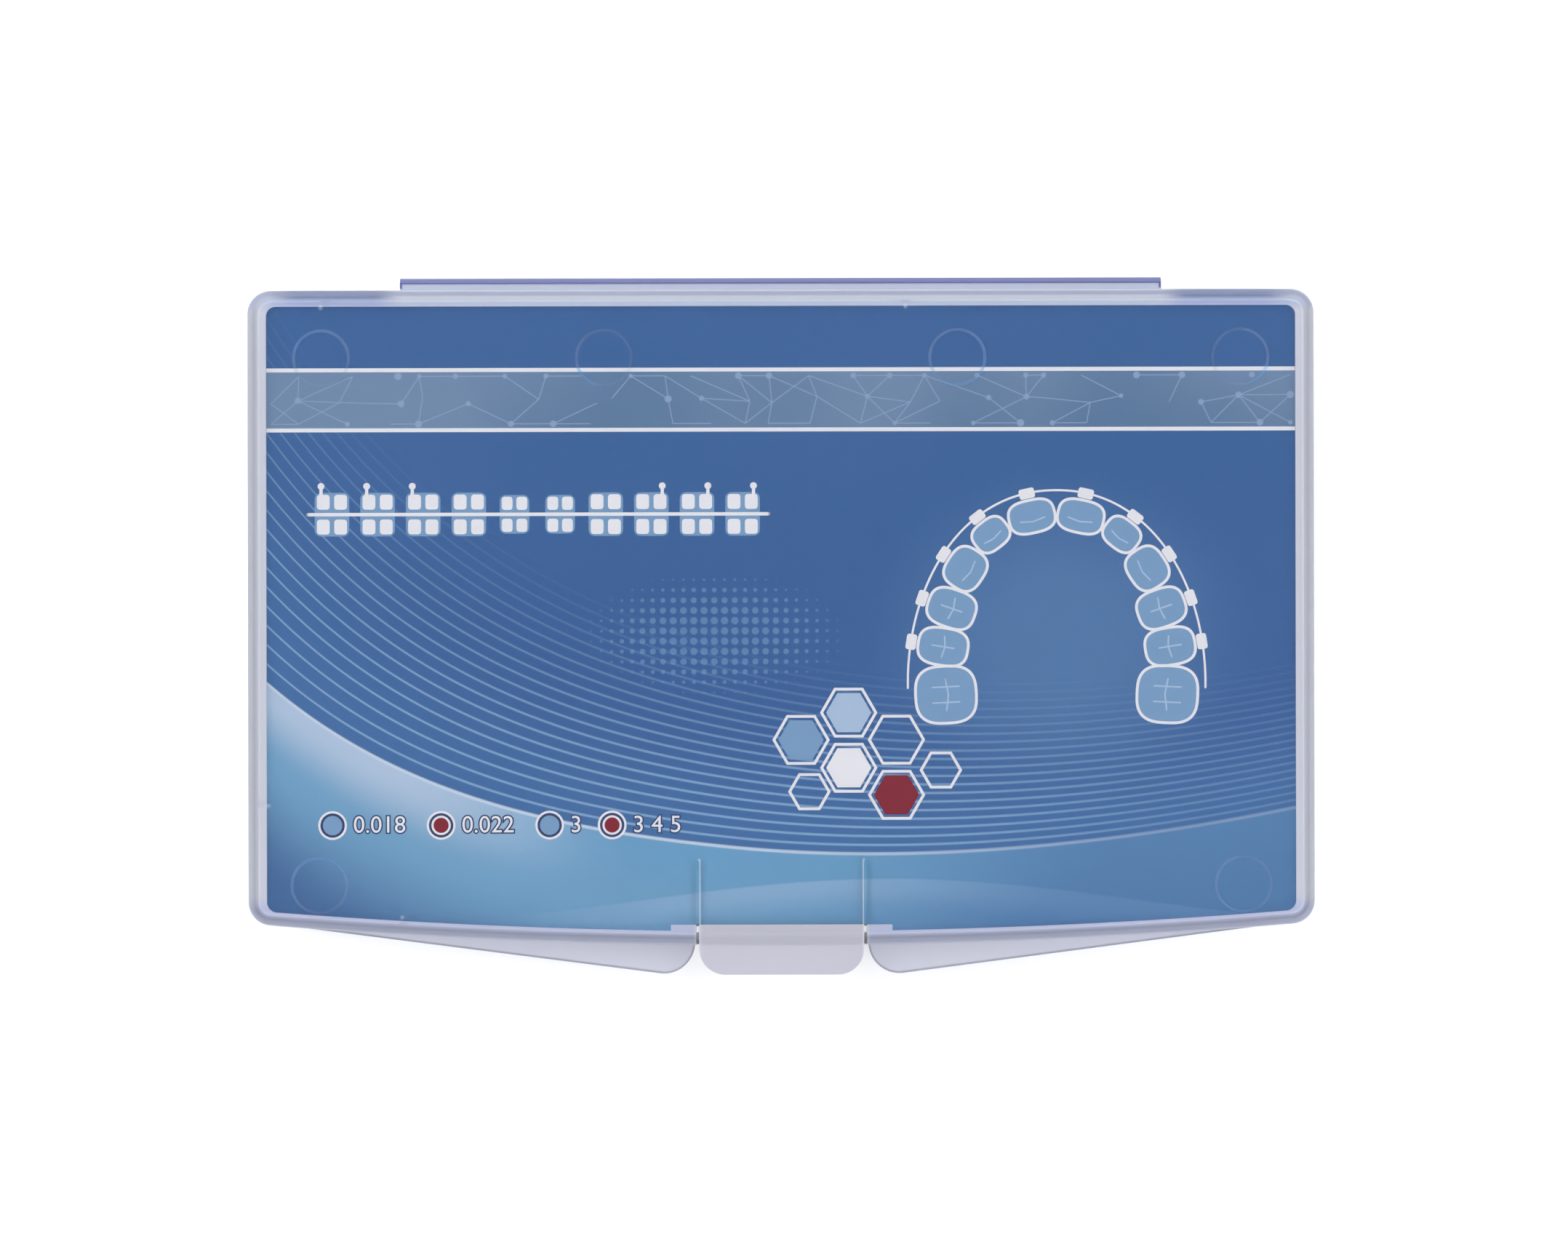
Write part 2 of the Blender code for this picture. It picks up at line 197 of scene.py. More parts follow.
def round_edges(obj, width, segments=3, angle=30.0):
    """Rounds the sharp edges and gives flat faces true normals; applied."""
    bm = bmesh.new()
    bm.from_mesh(obj.data)
    bmesh.ops.remove_doubles(bm, verts=bm.verts, dist=0.0006)
    bmesh.ops.dissolve_degenerate(bm, dist=0.0006, edges=bm.edges)
    bmesh.ops.recalc_face_normals(bm, faces=bm.faces)
    bm.to_mesh(obj.data)
    bm.free()
    obj.data.shade_smooth()
    if width:
        bevel = obj.modifiers.new("edges", 'BEVEL')
        bevel.width = width
        bevel.segments = segments
        bevel.limit_method = 'ANGLE'
        bevel.angle_limit = math.radians(angle)
        bevel.use_clamp_overlap = True
    weighted = obj.modifiers.new("normals", 'WEIGHTED_NORMAL')
    weighted.mode = 'FACE_AREA'
    weighted.weight = 60
    weighted.keep_sharp = True
    apply_modifiers(obj)


def apply_modifiers(obj):
    depsgraph = bpy.context.evaluated_depsgraph_get()
    mesh = bpy.data.meshes.new_from_object(obj.evaluated_get(depsgraph))
    obj.modifiers.clear()
    old = obj.data
    obj.data = mesh
    bpy.data.meshes.remove(old)


def finish(obj, mat, body, replaces=None, place=None):
    """Millimetres to metres, material, body and the node it stands for."""
    scale = Matrix.Scale(MM, 4)
    if place is not None:
        scale = scale @ place
    obj.data.transform(scale)
    obj.data.materials.clear()
    obj.data.materials.append(mat)
    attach(obj, body)
    if replaces:
        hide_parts(replaces)
    return obj


# ================================================================ case outline
def front_y(x, offset=0.0, front=FRONT_Y):
    radius = FRONT_RADIUS - offset
    return front + FRONT_RADIUS - math.sqrt(radius * radius - x * x)


def outline(offset, half=HALF_WIDTH, rear=REAR_Y, front=FRONT_Y, corner=CORNER_RADIUS,
            least=0.4, front_segments=FRONT_SEGMENTS, corner_segments=CORNER_SEGMENTS):
    r = max(corner - offset, least)
    xc = half - offset - r
    top = rear - offset - r
    centre = front + FRONT_RADIUS
    big = FRONT_RADIUS - offset
    yc = centre - math.sqrt((big - r) ** 2 - xc ** 2)
    phi = math.asin(xc / (big - r))
    deg = math.degrees(phi)
    points = []
    for i in range(front_segments + 1):
        a = -phi + 2.0 * phi * i / front_segments
        points.append((big * math.sin(a), centre - big * math.cos(a)))
    points += arc(xc, yc, r, -90.0 + deg, 0.0, corner_segments)[1:]
    points += arc(xc, top, r, 0.0, 90.0, corner_segments)
    points += arc(-xc, top, r, 90.0, 180.0, corner_segments)
    points += arc(-xc, yc, r, 180.0, 270.0 - deg, corner_segments)[:-1]
    return points


def ring(offset, z):
    return [(x, y, z) for x, y in outline(offset)]


# ================================================================ case
def build_lid():
    low = PART_Z + SEAM
    under = HEIGHT - PLATE
    inner = WALL + 0.10
    rings = [ring(inner + 0.60, under), ring(inner + 0.36, under)]
    for i in range(1, 5):
        a = math.radians(90.0 * i / 4)
        rings.append(ring(inner + 0.35 * (1.0 - math.sin(a)), under - 0.35 * (1.0 - math.cos(a))))
    rings.append(ring(WALL, low + 0.10))
    rings.append(ring(WALL - 0.03, low + 0.03))
    rings.append(ring(WALL - 0.10, low))
    rings.append(ring(0.10, low))
    rings.append(ring(0.03, low + 0.03))
    rings.append(ring(0.0, low + 0.10))
    for i in range(11):
        a = math.radians(90.0 * i / 10)
        rings.append(ring(DRAFT_LID + LID_EDGE_R * (1.0 - math.cos(a)),
                          HEIGHT - LID_EDGE_R + LID_EDGE_R * math.sin(a)))
    rings.append(ring(DRAFT_LID + LID_EDGE_R + 0.05, HEIGHT))
    lid = loft("lid_shell", rings)

    flange = prism_x("flange", [(REAR_Y - 0.7, low), (FLANGE_Y, low),
                                (FLANGE_Y, low + FLANGE_T - 0.25),
                                (FLANGE_Y - 0.25, low + FLANGE_T),
                                (REAR_Y - 0.7, low + FLANGE_T)], -HINGE_HALF, HINGE_HALF)
    boolean(lid, flange, 'UNION')

    r = TONGUE_R
    points = [(TONGUE_HALF, FRONT_Y + 1.0), (-TONGUE_HALF, FRONT_Y + 1.0)]
    points += arc(-TONGUE_HALF + r, TONGUE_Y + r, r, 180.0, 270.0, 20)
    points += arc(TONGUE_HALF - r, TONGUE_Y + r, r, 270.0, 360.0, 20)
    boolean(lid, prism_z("tongue", points, under, HEIGHT), 'UNION')

    hook = prism_x("hook", [(FRONT_Y + 0.6, 7.15), (FRONT_Y + WALL + 0.02, 7.15), (HOOK_Y, 7.45),
                            (HOOK_Y, 7.75), (FRONT_Y + WALL + 0.02, 8.35), (FRONT_Y + 0.6, 8.35)],
                   -HOOK_HALF, HOOK_HALF)
    boolean(lid, hook, 'UNION')

    for side in (-1.0, 1.0):
        middle = side * (TONGUE_HALF + SLIT_W / 2.0)
        half = SLIT_W / 2.0
        cut_outline = [(middle + half, FRONT_Y - 2.0)]
        cut_outline += arc(middle, SLIT_REAR_Y - half, half, 0.0, 180.0, 8)
        cut_outline += [(middle - half, FRONT_Y - 2.0)]
        boolean(lid, prism_z("slit", cut_outline, low - 1.0, HEIGHT + 1.0), 'DIFFERENCE')

    for x, y in EJECTORS:
        mark = prism_z("mark", arc(x, y, EJECTOR_R, 0.0, 360.0, 64)[:-1],
                       under - 1.0, under + EJECTOR_DEPTH)
        boolean(lid, mark, 'DIFFERENCE')

    gap = 0.02
    ribs = ((-55.3, INSERT_REAR + gap + RIB_R), (15.2, INSERT_REAR + gap + RIB_R),
            (-INSERT_HALF - gap - RIB_R, -21.5),
            (-46.0, front_y(46.0, front=INSERT_FRONT) - gap - RIB_R))
    for x, y in ribs:
        rib = prism_z("rib", arc(x, y, RIB_R, 0.0, 360.0, 20)[:-1], under - RIB_H, under + 0.3)
        boolean(lid, rib, 'UNION')
    round_edges(lid, 0.07, 3)
    return lid


def wing_outline(side):
    cx = WING_IN_X + WING_TIP_R
    cy = WING_TIP_Y + WING_TIP_R
    run = Vector((WING_OUT_X - cx, WING_OUT_Y - WING_TIP_Y))
    lean = math.degrees(math.atan2(run.y, run.x))
    points = arc(cx, cy, WING_TIP_R, 180.0, 270.0 + lean, 26)
    points.append((WING_OUT_X, WING_OUT_Y))
    steps = 24
    for i in range(steps + 1):
        x = WING_OUT_X - 0.4 + (WING_IN_X - WING_OUT_X + 0.4) * i / steps
        points.append((x, front_y(x, 0.65)))
    if side < 0.0:
        points = [(-x, y) for x, y in reversed(points)]
    return points


def build_base():
    high = PART_Z - SEAM
    rings = [ring(DRAFT_BASE + BASE_EDGE_R + 0.05, 0.0)]
    for i in range(9):
        a = math.radians(90.0 * (1.0 - i / 8))
        rings.append(ring(DRAFT_BASE + BASE_EDGE_R * (1.0 - math.cos(a)),
                          BASE_EDGE_R * (1.0 - math.sin(a))))
    rings.append(ring(0.0, high - 0.10))
    rings.append(ring(0.03, high - 0.03))
    rings.append(ring(0.10, high))
    rings.append(ring(LIP_OUT - 0.10, high))
    rings.append(ring(LIP_OUT - 0.03, high + 0.03))
    rings.append(ring(LIP_OUT, high + 0.10))
    rings.append(ring(LIP_OUT, LIP_TOP - 0.25))
    rings.append(ring(LIP_OUT + 0.06, LIP_TOP - 0.08))
    rings.append(ring(LIP_OUT + 0.20, LIP_TOP))
    rings.append(ring(LIP_IN - 0.15, LIP_TOP))
    rings.append(ring(LIP_IN - 0.04, LIP_TOP - 0.04))
    rings.append(ring(LIP_IN, LIP_TOP - 0.15))
    rings.append(ring(LIP_IN, 5.10))
    rings.append(ring(LIP_IN - 0.03, 4.98))
    rings.append(ring(WALL + 0.06, 4.05))
    rings.append(ring(WALL + 0.03, 3.90))
    for i in range(6):
        a = math.radians(90.0 * i / 5)
        rings.append(ring(WALL + 0.08 + 0.40 * (1.0 - math.cos(a)), PLATE + 0.40 * (1.0 - math.sin(a))))
    rings.append(ring(WALL + 0.70, PLATE))
    base = loft("base_shell", rings)

    step = prism_x("step", [(FRONT_Y + LIP_OUT - 0.35, high), (BEAD_Y - 0.02, high),
                            (BEAD_Y - 0.02, LIP_TOP + 1.0), (FRONT_Y + LIP_OUT - 0.35, LIP_TOP + 1.0)],
                   -TONGUE_HALF - 0.6, TONGUE_HALF + 0.6)
    boolean(base, step, 'DIFFERENCE')
    bead = prism_x("bead", [(-36.40, 5.3), (-35.55, 4.45), (-35.55, LIP_TOP), (-36.45, LIP_TOP),
                            (BEAD_Y, LIP_TOP - 0.12), (BEAD_Y, LIP_TOP - 0.30), (-36.45, LIP_TOP - 0.60),
                            (-36.45, high + 0.02), (-36.70, high - 0.30), (-36.70, 5.3)],
                   -TONGUE_HALF - 0.3, TONGUE_HALF + 0.3)
    boolean(base, bead, 'UNION')
    for side in (-1.0, 1.0):
        boolean(base, prism_z("wing", wing_outline(side), high - WING_T, high), 'UNION')
    flange = prism_x("flange", [(REAR_Y - 0.7, high - FLANGE_T), (FLANGE_Y - 0.25, high - FLANGE_T),
                                (FLANGE_Y, high - FLANGE_T + 0.25), (FLANGE_Y, high),
                                (REAR_Y - 0.7, high)], -HINGE_HALF, HINGE_HALF)
    boolean(base, flange, 'UNION')
    round_edges(base, 0.07, 3)
    return base


def build_film():
    """Thin bent web that joins the two flanges, its ends inside their edges."""
    outer = []
    inner = []
    low, high = PART_Z - 0.36, PART_Z + 0.36
    bulge = FILM_Y - FLANGE_Y
    steps = 28
    for i in range(steps + 1):
        t = i / steps
        z = low + (high - low) * t
        push = math.sin(math.pi * t) ** 0.6 if 0.0 < t < 1.0 else 0.0
        outer.append((FLANGE_Y - 0.03 + (bulge + 0.03) * push, z))
        inner.append((FLANGE_Y - 0.12 + (bulge - 0.02) * push * 0.75,
                      PART_Z + (z - PART_Z) * 0.62))
    profile = outer + list(reversed(inner))
    stations = 94
    bm = bmesh.new()
    rows = []
    for k in range(stations + 1):
        x = -HINGE_HALF + 2.0 * HINGE_HALF * k / stations
        rows.append([bm.verts.new((x, y, z)) for y, z in profile])
    count = len(profile)
    for a, b in zip(rows, rows[1:]):
        for i in range(count):
            j = (i + 1) % count
            bm.faces.new((a[i], a[j], b[j], b[i]))
    bm.faces.new(rows[0])
    bm.faces.new(rows[-1])
    film = mesh_object("hinge_film", bm)
    film.data.shade_smooth()
    film.data.set_sharp_from_angle(angle=math.radians(40.0))
    return film


# ================================================================ materials
class Shader:
    """A node material and short ways to add its nodes."""

    def __init__(self, name):
        self.mat = bpy.data.materials.new(name)
        self.mat.use_nodes = True
        self.tree = self.mat.node_tree
        self.bsdf = self.tree.nodes["Principled BSDF"]
        self.output = self.tree.nodes["Material Output"]
        self._coords = None

    def node(self, kind, **values):
        node = self.tree.nodes.new(kind)
        for key, value in values.items():
            setattr(node, key, value)
        return node

    def put(self, socket, value):
        if isinstance(value, bpy.types.NodeSocket):
            self.tree.links.new(value, socket)
        else:
            socket.default_value = value

    def set(self, **values):
        for key, value in values.items():
            self.put(self.bsdf.inputs[key.replace("_", " ")], value)

    def coords(self):
        """Position on the piece, in millimetres, at rest and in every pose."""
        if self._coords is None:
            tex = self.node("ShaderNodeTexCoord")
            scale = self.node("ShaderNodeVectorMath", operation='SCALE')
            self.tree.links.new(tex.outputs["Object"], scale.inputs[0])
            scale.inputs["Scale"].default_value = 1000.0
            split = self.node("ShaderNodeSeparateXYZ")
            self.tree.links.new(scale.outputs[0], split.inputs[0])
            self._coords = (scale.outputs[0], split.outputs[0], split.outputs[1], split.outputs[2])
        return self._coords

    def math(self, operation, a, b=None, c=None, clamp=False):
        node = self.node("ShaderNodeMath", operation=operation, use_clamp=clamp)
        self.put(node.inputs[0], a)
        if b is not None:
            self.put(node.inputs[1], b)
        if c is not None:
            self.put(node.inputs[2], c)
        return node.outputs[0]

    def smooth(self, value, low, high, to_low=0.0, to_high=1.0):
        node = self.node("ShaderNodeMapRange", interpolation_type='SMOOTHSTEP')
        self.put(node.inputs["Value"], value)
        node.inputs["From Min"].default_value = low
        node.inputs["From Max"].default_value = high
        node.inputs["To Min"].default_value = to_low
        node.inputs["To Max"].default_value = to_high
        return node.outputs["Result"]

    def mix(self, factor, a, b):
        node = self.node("ShaderNodeMix", data_type='RGBA')
        self.put(node.inputs[0], factor)
        self.put(node.inputs[6], a if isinstance(a, bpy.types.NodeSocket) else (*a, 1.0))
        self.put(node.inputs[7], b if isinstance(b, bpy.types.NodeSocket) else (*b, 1.0))
        return node.outputs[2]

    def noise(self, scale, detail=3.0, roughness=0.5, stretch=None):
        vector = self.coords()[0]
        if stretch:
            mapping = self.node("ShaderNodeMapping")
            self.tree.links.new(vector, mapping.inputs["Vector"])
            mapping.inputs["Scale"].default_value = stretch
            vector = mapping.outputs[0]
        node = self.node("ShaderNodeTexNoise")
        self.tree.links.new(vector, node.inputs["Vector"])
        node.inputs["Scale"].default_value = scale
        node.inputs["Detail"].default_value = detail
        node.inputs["Roughness"].default_value = roughness
        return node.outputs["Fac"]

    def bump(self, height, strength, distance_mm):
        node = self.node("ShaderNodeBump")
        self.put(node.inputs["Height"], height)
        node.inputs["Strength"].default_value = strength
        node.inputs["Distance"].default_value = distance_mm * MM
        self.tree.links.new(node.outputs[0], self.bsdf.inputs["Normal"])
        return node


def band(s, value, low, high, soft):
    """1 between low and high, falling to 0 over soft on both sides."""
    return s.math('MULTIPLY', s.smooth(value, low - soft, low),
                  s.smooth(value, high, high + soft, 1.0, 0.0))


def front_bow(s, x, y):
    """How far a point lies behind the bowed front wall's outer face."""
    square = s.math('MULTIPLY', x, x)
    return s.math('MULTIPLY_ADD', square, -0.5 / FRONT_RADIUS, s.math('SUBTRACT', y, FRONT_Y))


def depth_in(s, x_in, y_in, r):
    """Depth inside a rounded outline; x_in and y_in are depths behind its straight edges."""
    qx, qy = s.math('SUBTRACT', r, x_in), s.math('SUBTRACT', r, y_in)
    ax, ay = s.math('MAXIMUM', qx, 0.0), s.math('MAXIMUM', qy, 0.0)
    corner = s.math('SQRT', s.math('MULTIPLY_ADD', ax, ax, s.math('MULTIPLY', ay, ay)))
    side = s.math('MINIMUM', s.math('MAXIMUM', qx, qy), 0.0)
    return s.math('SUBTRACT', r, s.math('ADD', corner, side))


def distance(s, x, y, cx, cy):
    dx, dy = s.math('SUBTRACT', x, cx), s.math('SUBTRACT', y, cy)
    return s.math('SQRT', s.math('MULTIPLY_ADD', dx, dx, s.math('MULTIPLY', dy, dy)))


def clear_plastic(name, tint, tongue_tint, wing_tint, hinge_shade_tint):
    """Moulded plastic: clear in the flat plates, cloudier in walls, rims and flaps, with painted light and shade in
    the rim, along the hinge, on the wing edges, at the ribs and on the ejector rings.
    """
    s = Shader(name)
    s.set(IOR=1.49)
    x, y, z = s.coords()[1:]
    across = s.math('ABSOLUTE', x)
    bow = front_bow(s, x, y)
    high = s.smooth(z, 11.5, 11.75)
    # the plate is clear over the insert, with its round corners and its notch
    over = depth_in(s, s.math('SUBTRACT', INSERT_HALF, across),
                    s.math('MINIMUM', s.math('SUBTRACT', INSERT_REAR, y),
                           s.math('SUBTRACT', bow, INSERT_FRONT - FRONT_Y)), INSERT_CORNER)
    inside = s.smooth(over, -0.02, 0.10)
    notch = s.math('MULTIPLY', s.smooth(across, NOTCH_HALF - 0.08, NOTCH_HALF + 0.02, 1.0, 0.0),
                   s.smooth(y, NOTCH_Y - 0.02, NOTCH_Y + 0.08, 1.0, 0.0))
    inside = s.math('SUBTRACT', inside, s.math('MULTIPLY', notch, high), clamp=True)
    plate = s.math('MULTIPLY', inside, s.math('MAXIMUM', high, s.smooth(z, 1.25, 1.5, 1.0, 0.0)))
    # the tongue and the two wings stand out in front of the wall
    outside = s.smooth(bow, -0.15, 0.05, 1.0, 0.0)
    root = s.math('MULTIPLY', s.smooth(across, TONGUE_HALF, TONGUE_HALF + 0.06, 1.0, 0.0),
                  s.math('MULTIPLY', high, s.smooth(y, -36.45, -36.30, 1.0, 0.0)))
    flap = s.math('MAXIMUM', outside, root)
    # frosted edges of the tongue; the ejector rings under the plate are cloudier and carry painted glints
    slits = s.math('MULTIPLY', band(s, across, TONGUE_HALF - 0.18, TONGUE_HALF + 0.10, 0.05),
                   s.math('MULTIPLY', s.smooth(y, SLIT_REAR_Y + 0.1, SLIT_REAR_Y + 0.3, 1.0, 0.0),
                          s.smooth(z, 12.5, 12.7)))
    ejector_frost_and_glints = None
    for cx, cy in ((55.9, 32.6), (21.5, 32.6), (56.2, -31.5)):
        mark = band(s, distance(s, across, y, cx, cy), EJECTOR_R - 0.26, EJECTOR_R - 0.02, 0.13)
        ejector_frost_and_glints = mark if ejector_frost_and_glints is None else s.math('MAXIMUM', ejector_frost_and_glints, mark)
    ejector_frost_and_glints = s.math('MULTIPLY', ejector_frost_and_glints, s.math('MULTIPLY', high, s.smooth(z, 12.1, 12.3, 1.0, 0.0)))
    ejector_frost_and_glints = s.math('MULTIPLY', ejector_frost_and_glints, s.smooth(s.noise(0.11, 1.0), 0.40, 0.58, 0.25, 1.0))

    # painted highlights: pale points at the insert's edge where the ribs that centre it stand
    points = None
    for cx, cy in ((-55.9, 38.72), (15.2, 38.80), (-62.35, -21.8), (-46.1, -35.35)):
        spot = s.smooth(distance(s, x, y, cx, cy), 0.05, 0.42, 1.0, 0.0)
        points = spot if points is None else s.math('MAXIMUM', points, spot)
    points = s.math('MULTIPLY', points, high)

    clear = s.smooth(plate, 0.0, 1.0, CLOUDY_WALL, CLEAR_PLATE)
    clear = s.math('MULTIPLY_ADD', points, -0.09, clear)
    clear = s.math('MULTIPLY_ADD', s.math('SUBTRACT', CLOUDY_FLAP, clear), flap, clear)
    clear = s.math('MULTIPLY_ADD', ejector_frost_and_glints, -0.21, clear)
    clear = s.math('MULTIPLY_ADD', slits, -0.14, clear, clamp=True)
    # the sides of the slits in the front wall are made clear and nearly white, painted light that lightens the dark
    # gap there
    gap = s.math('MULTIPLY', band(s, across, TONGUE_HALF - 0.06, TONGUE_HALF + SLIT_W + 0.06, 0.04),
                 s.math('MULTIPLY', s.smooth(y, -36.0, -35.8, 1.0, 0.0),
                        s.smooth(z, 12.3, 12.5, 1.0, 0.0)))
    clear = s.math('MULTIPLY_ADD', s.math('SUBTRACT', 0.97, clear), gap, clear)
    s.set(Transmission_Weight=clear)

    # the rim, in thin and thick bands from its outer edge in; bluer along the hinge. These bands are painted light
    # and shade that stand in for light bent through the walls
    rim = depth_in(s, s.math('SUBTRACT', HALF_WIDTH, across),
                   s.math('MINIMUM', s.math('SUBTRACT', REAR_Y, y), bow), CORNER_RADIUS)
    walls = s.mix(s.smooth(rim, 0.05, 0.75), (0.56, 0.585, 0.665), (0.60, 0.615, 0.69))
    walls = s.mix(s.smooth(rim, 0.85, 1.35), walls, (0.74, 0.755, 0.83))
    walls = s.mix(s.math('MULTIPLY', band(s, rim, 0.78, 0.92, 0.14), 0.35), walls, (0.47, 0.49, 0.58))
    back = s.mix(s.smooth(rim, 0.18, 0.42), (0.72, 0.75, 0.82), (0.46, 0.49, 0.65))
    back = s.mix(s.smooth(rim, 0.72, 1.02), back, (0.84, 0.88, 0.97))
    back = s.mix(s.smooth(rim, 1.25, 1.60), back, (0.62, 0.68, 0.82))
    # painted shade: darker beyond the ends of the hinge
    ends = s.mix(s.smooth(rim, 0.95, 1.35), (0.22, 0.27, 0.45), (0.45, 0.51, 0.76))
    beyond = s.math('MULTIPLY', s.smooth(across, 45.8, 49.5), s.smooth(z, 11.6, 12.6))
    back = s.mix(s.math('MULTIPLY', beyond, s.smooth(across, 58.5, 63.0, 1.0, 0.25)), back, ends)
    walls = s.mix(s.smooth(y, 38.0, 39.3), walls, back)
    # painted shade: darker along the front, save over the tongue
    front = s.math('MULTIPLY', s.smooth(bow, 2.0, 6.0, 1.0, 0.0),
                   s.math('MULTIPLY', s.smooth(y, -34.5, -32.5, 1.0, 0.0),
                          s.smooth(across, TONGUE_HALF + SLIT_W, TONGUE_HALF + SLIT_W + 0.4)))
    low = s.mix(band(s, rim, 0.45, 0.95, 0.25), (0.49, 0.52, 0.65), (0.41, 0.44, 0.57))
    walls = s.mix(front, walls, s.mix(s.smooth(rim, 1.05, 1.45), low, (0.62, 0.66, 0.84)))
    color = s.mix(plate, walls, tint)
    # the tongue and wings are one plastic; the wings get a lighter tint than the tongue, painted light that offsets
    # the shade they get near the floor
    color = s.mix(flap, color, s.mix(high, wing_tint, tongue_tint))
    # painted light and shade along the hinge: a pale band at the rim's back edge, then a dark line at the flanges
    hinge = s.math('MULTIPLY', s.smooth(y, 41.15, 41.3),
                   s.math('MAXIMUM', s.smooth(y, 41.66, 41.90),
                          s.smooth(across, HINGE_HALF - 0.32, HINGE_HALF - 0.22)))
    color = s.mix(s.smooth(y, 41.02, 41.10), color, (0.79, 0.83, 0.94))
    color = s.mix(hinge, color, hinge_shade_tint)
    # painted shade on the wings' outer edges, standing in for the dark they show as bent light misses the table
    # there
    run = math.atan2(WING_OUT_Y - WING_TIP_Y, WING_OUT_X - WING_IN_X - WING_TIP_R)
    side = s.math('MULTIPLY_ADD', s.math('SUBTRACT', across, WING_IN_X + WING_TIP_R), -math.sin(run),
                  s.math('MULTIPLY', s.math('SUBTRACT', y, WING_TIP_Y), math.cos(run)))
    round_part = s.math('SUBTRACT', WING_TIP_R,
                        distance(s, across, y, WING_IN_X + WING_TIP_R, WING_TIP_Y + WING_TIP_R))
    tip = s.smooth(across, WING_IN_X + WING_TIP_R - 0.1, WING_IN_X + WING_TIP_R + 0.1)
    depth = s.math('MULTIPLY_ADD', s.math('SUBTRACT', side, round_part), tip, round_part)
    edge = s.math('MULTIPLY', s.smooth(depth, 0.10, 0.34, 1.0, 0.0),
                  s.math('MULTIPLY', outside, s.smooth(z, 6.9, 7.2, 1.0, 0.0)))
    edge = s.math('MULTIPLY', edge, s.smooth(across, 10.4, 10.7))
    color = s.mix(s.math('MULTIPLY', edge, 0.8), color, (0.33, 0.34, 0.42))
    # painted glints in pale blue on the ejector rings
    color = s.mix(ejector_frost_and_glints, color, (0.42, 0.72, 1.0))
    # painted highlights at the ribs
    color = s.mix(points, color, (0.86, 0.92, 0.99))
    # painted light: the slit sides nearly white
    color = s.mix(gap, color, (0.96, 0.96, 0.98))
    s.set(Base_Color=color)

    smudge = s.noise(0.055, 4.0, 0.55)
    fine = s.noise(0.9, 3.0, 0.6)
    rough = s.math('MULTIPLY_ADD', smudge, 0.07, 0.02)
    rough = s.math('MULTIPLY_ADD', fine, 0.02, rough)
    rough = s.math('ADD', rough, s.smooth(plate, 0.0, 1.0, 0.28, 0.0))
    s.set(Roughness=rough)
    flow = s.noise(0.05, 2.0, 0.5, stretch=(1.0, 3.0, 1.0))
    s.bump(flow, 0.10, 0.05)
    return s.mat


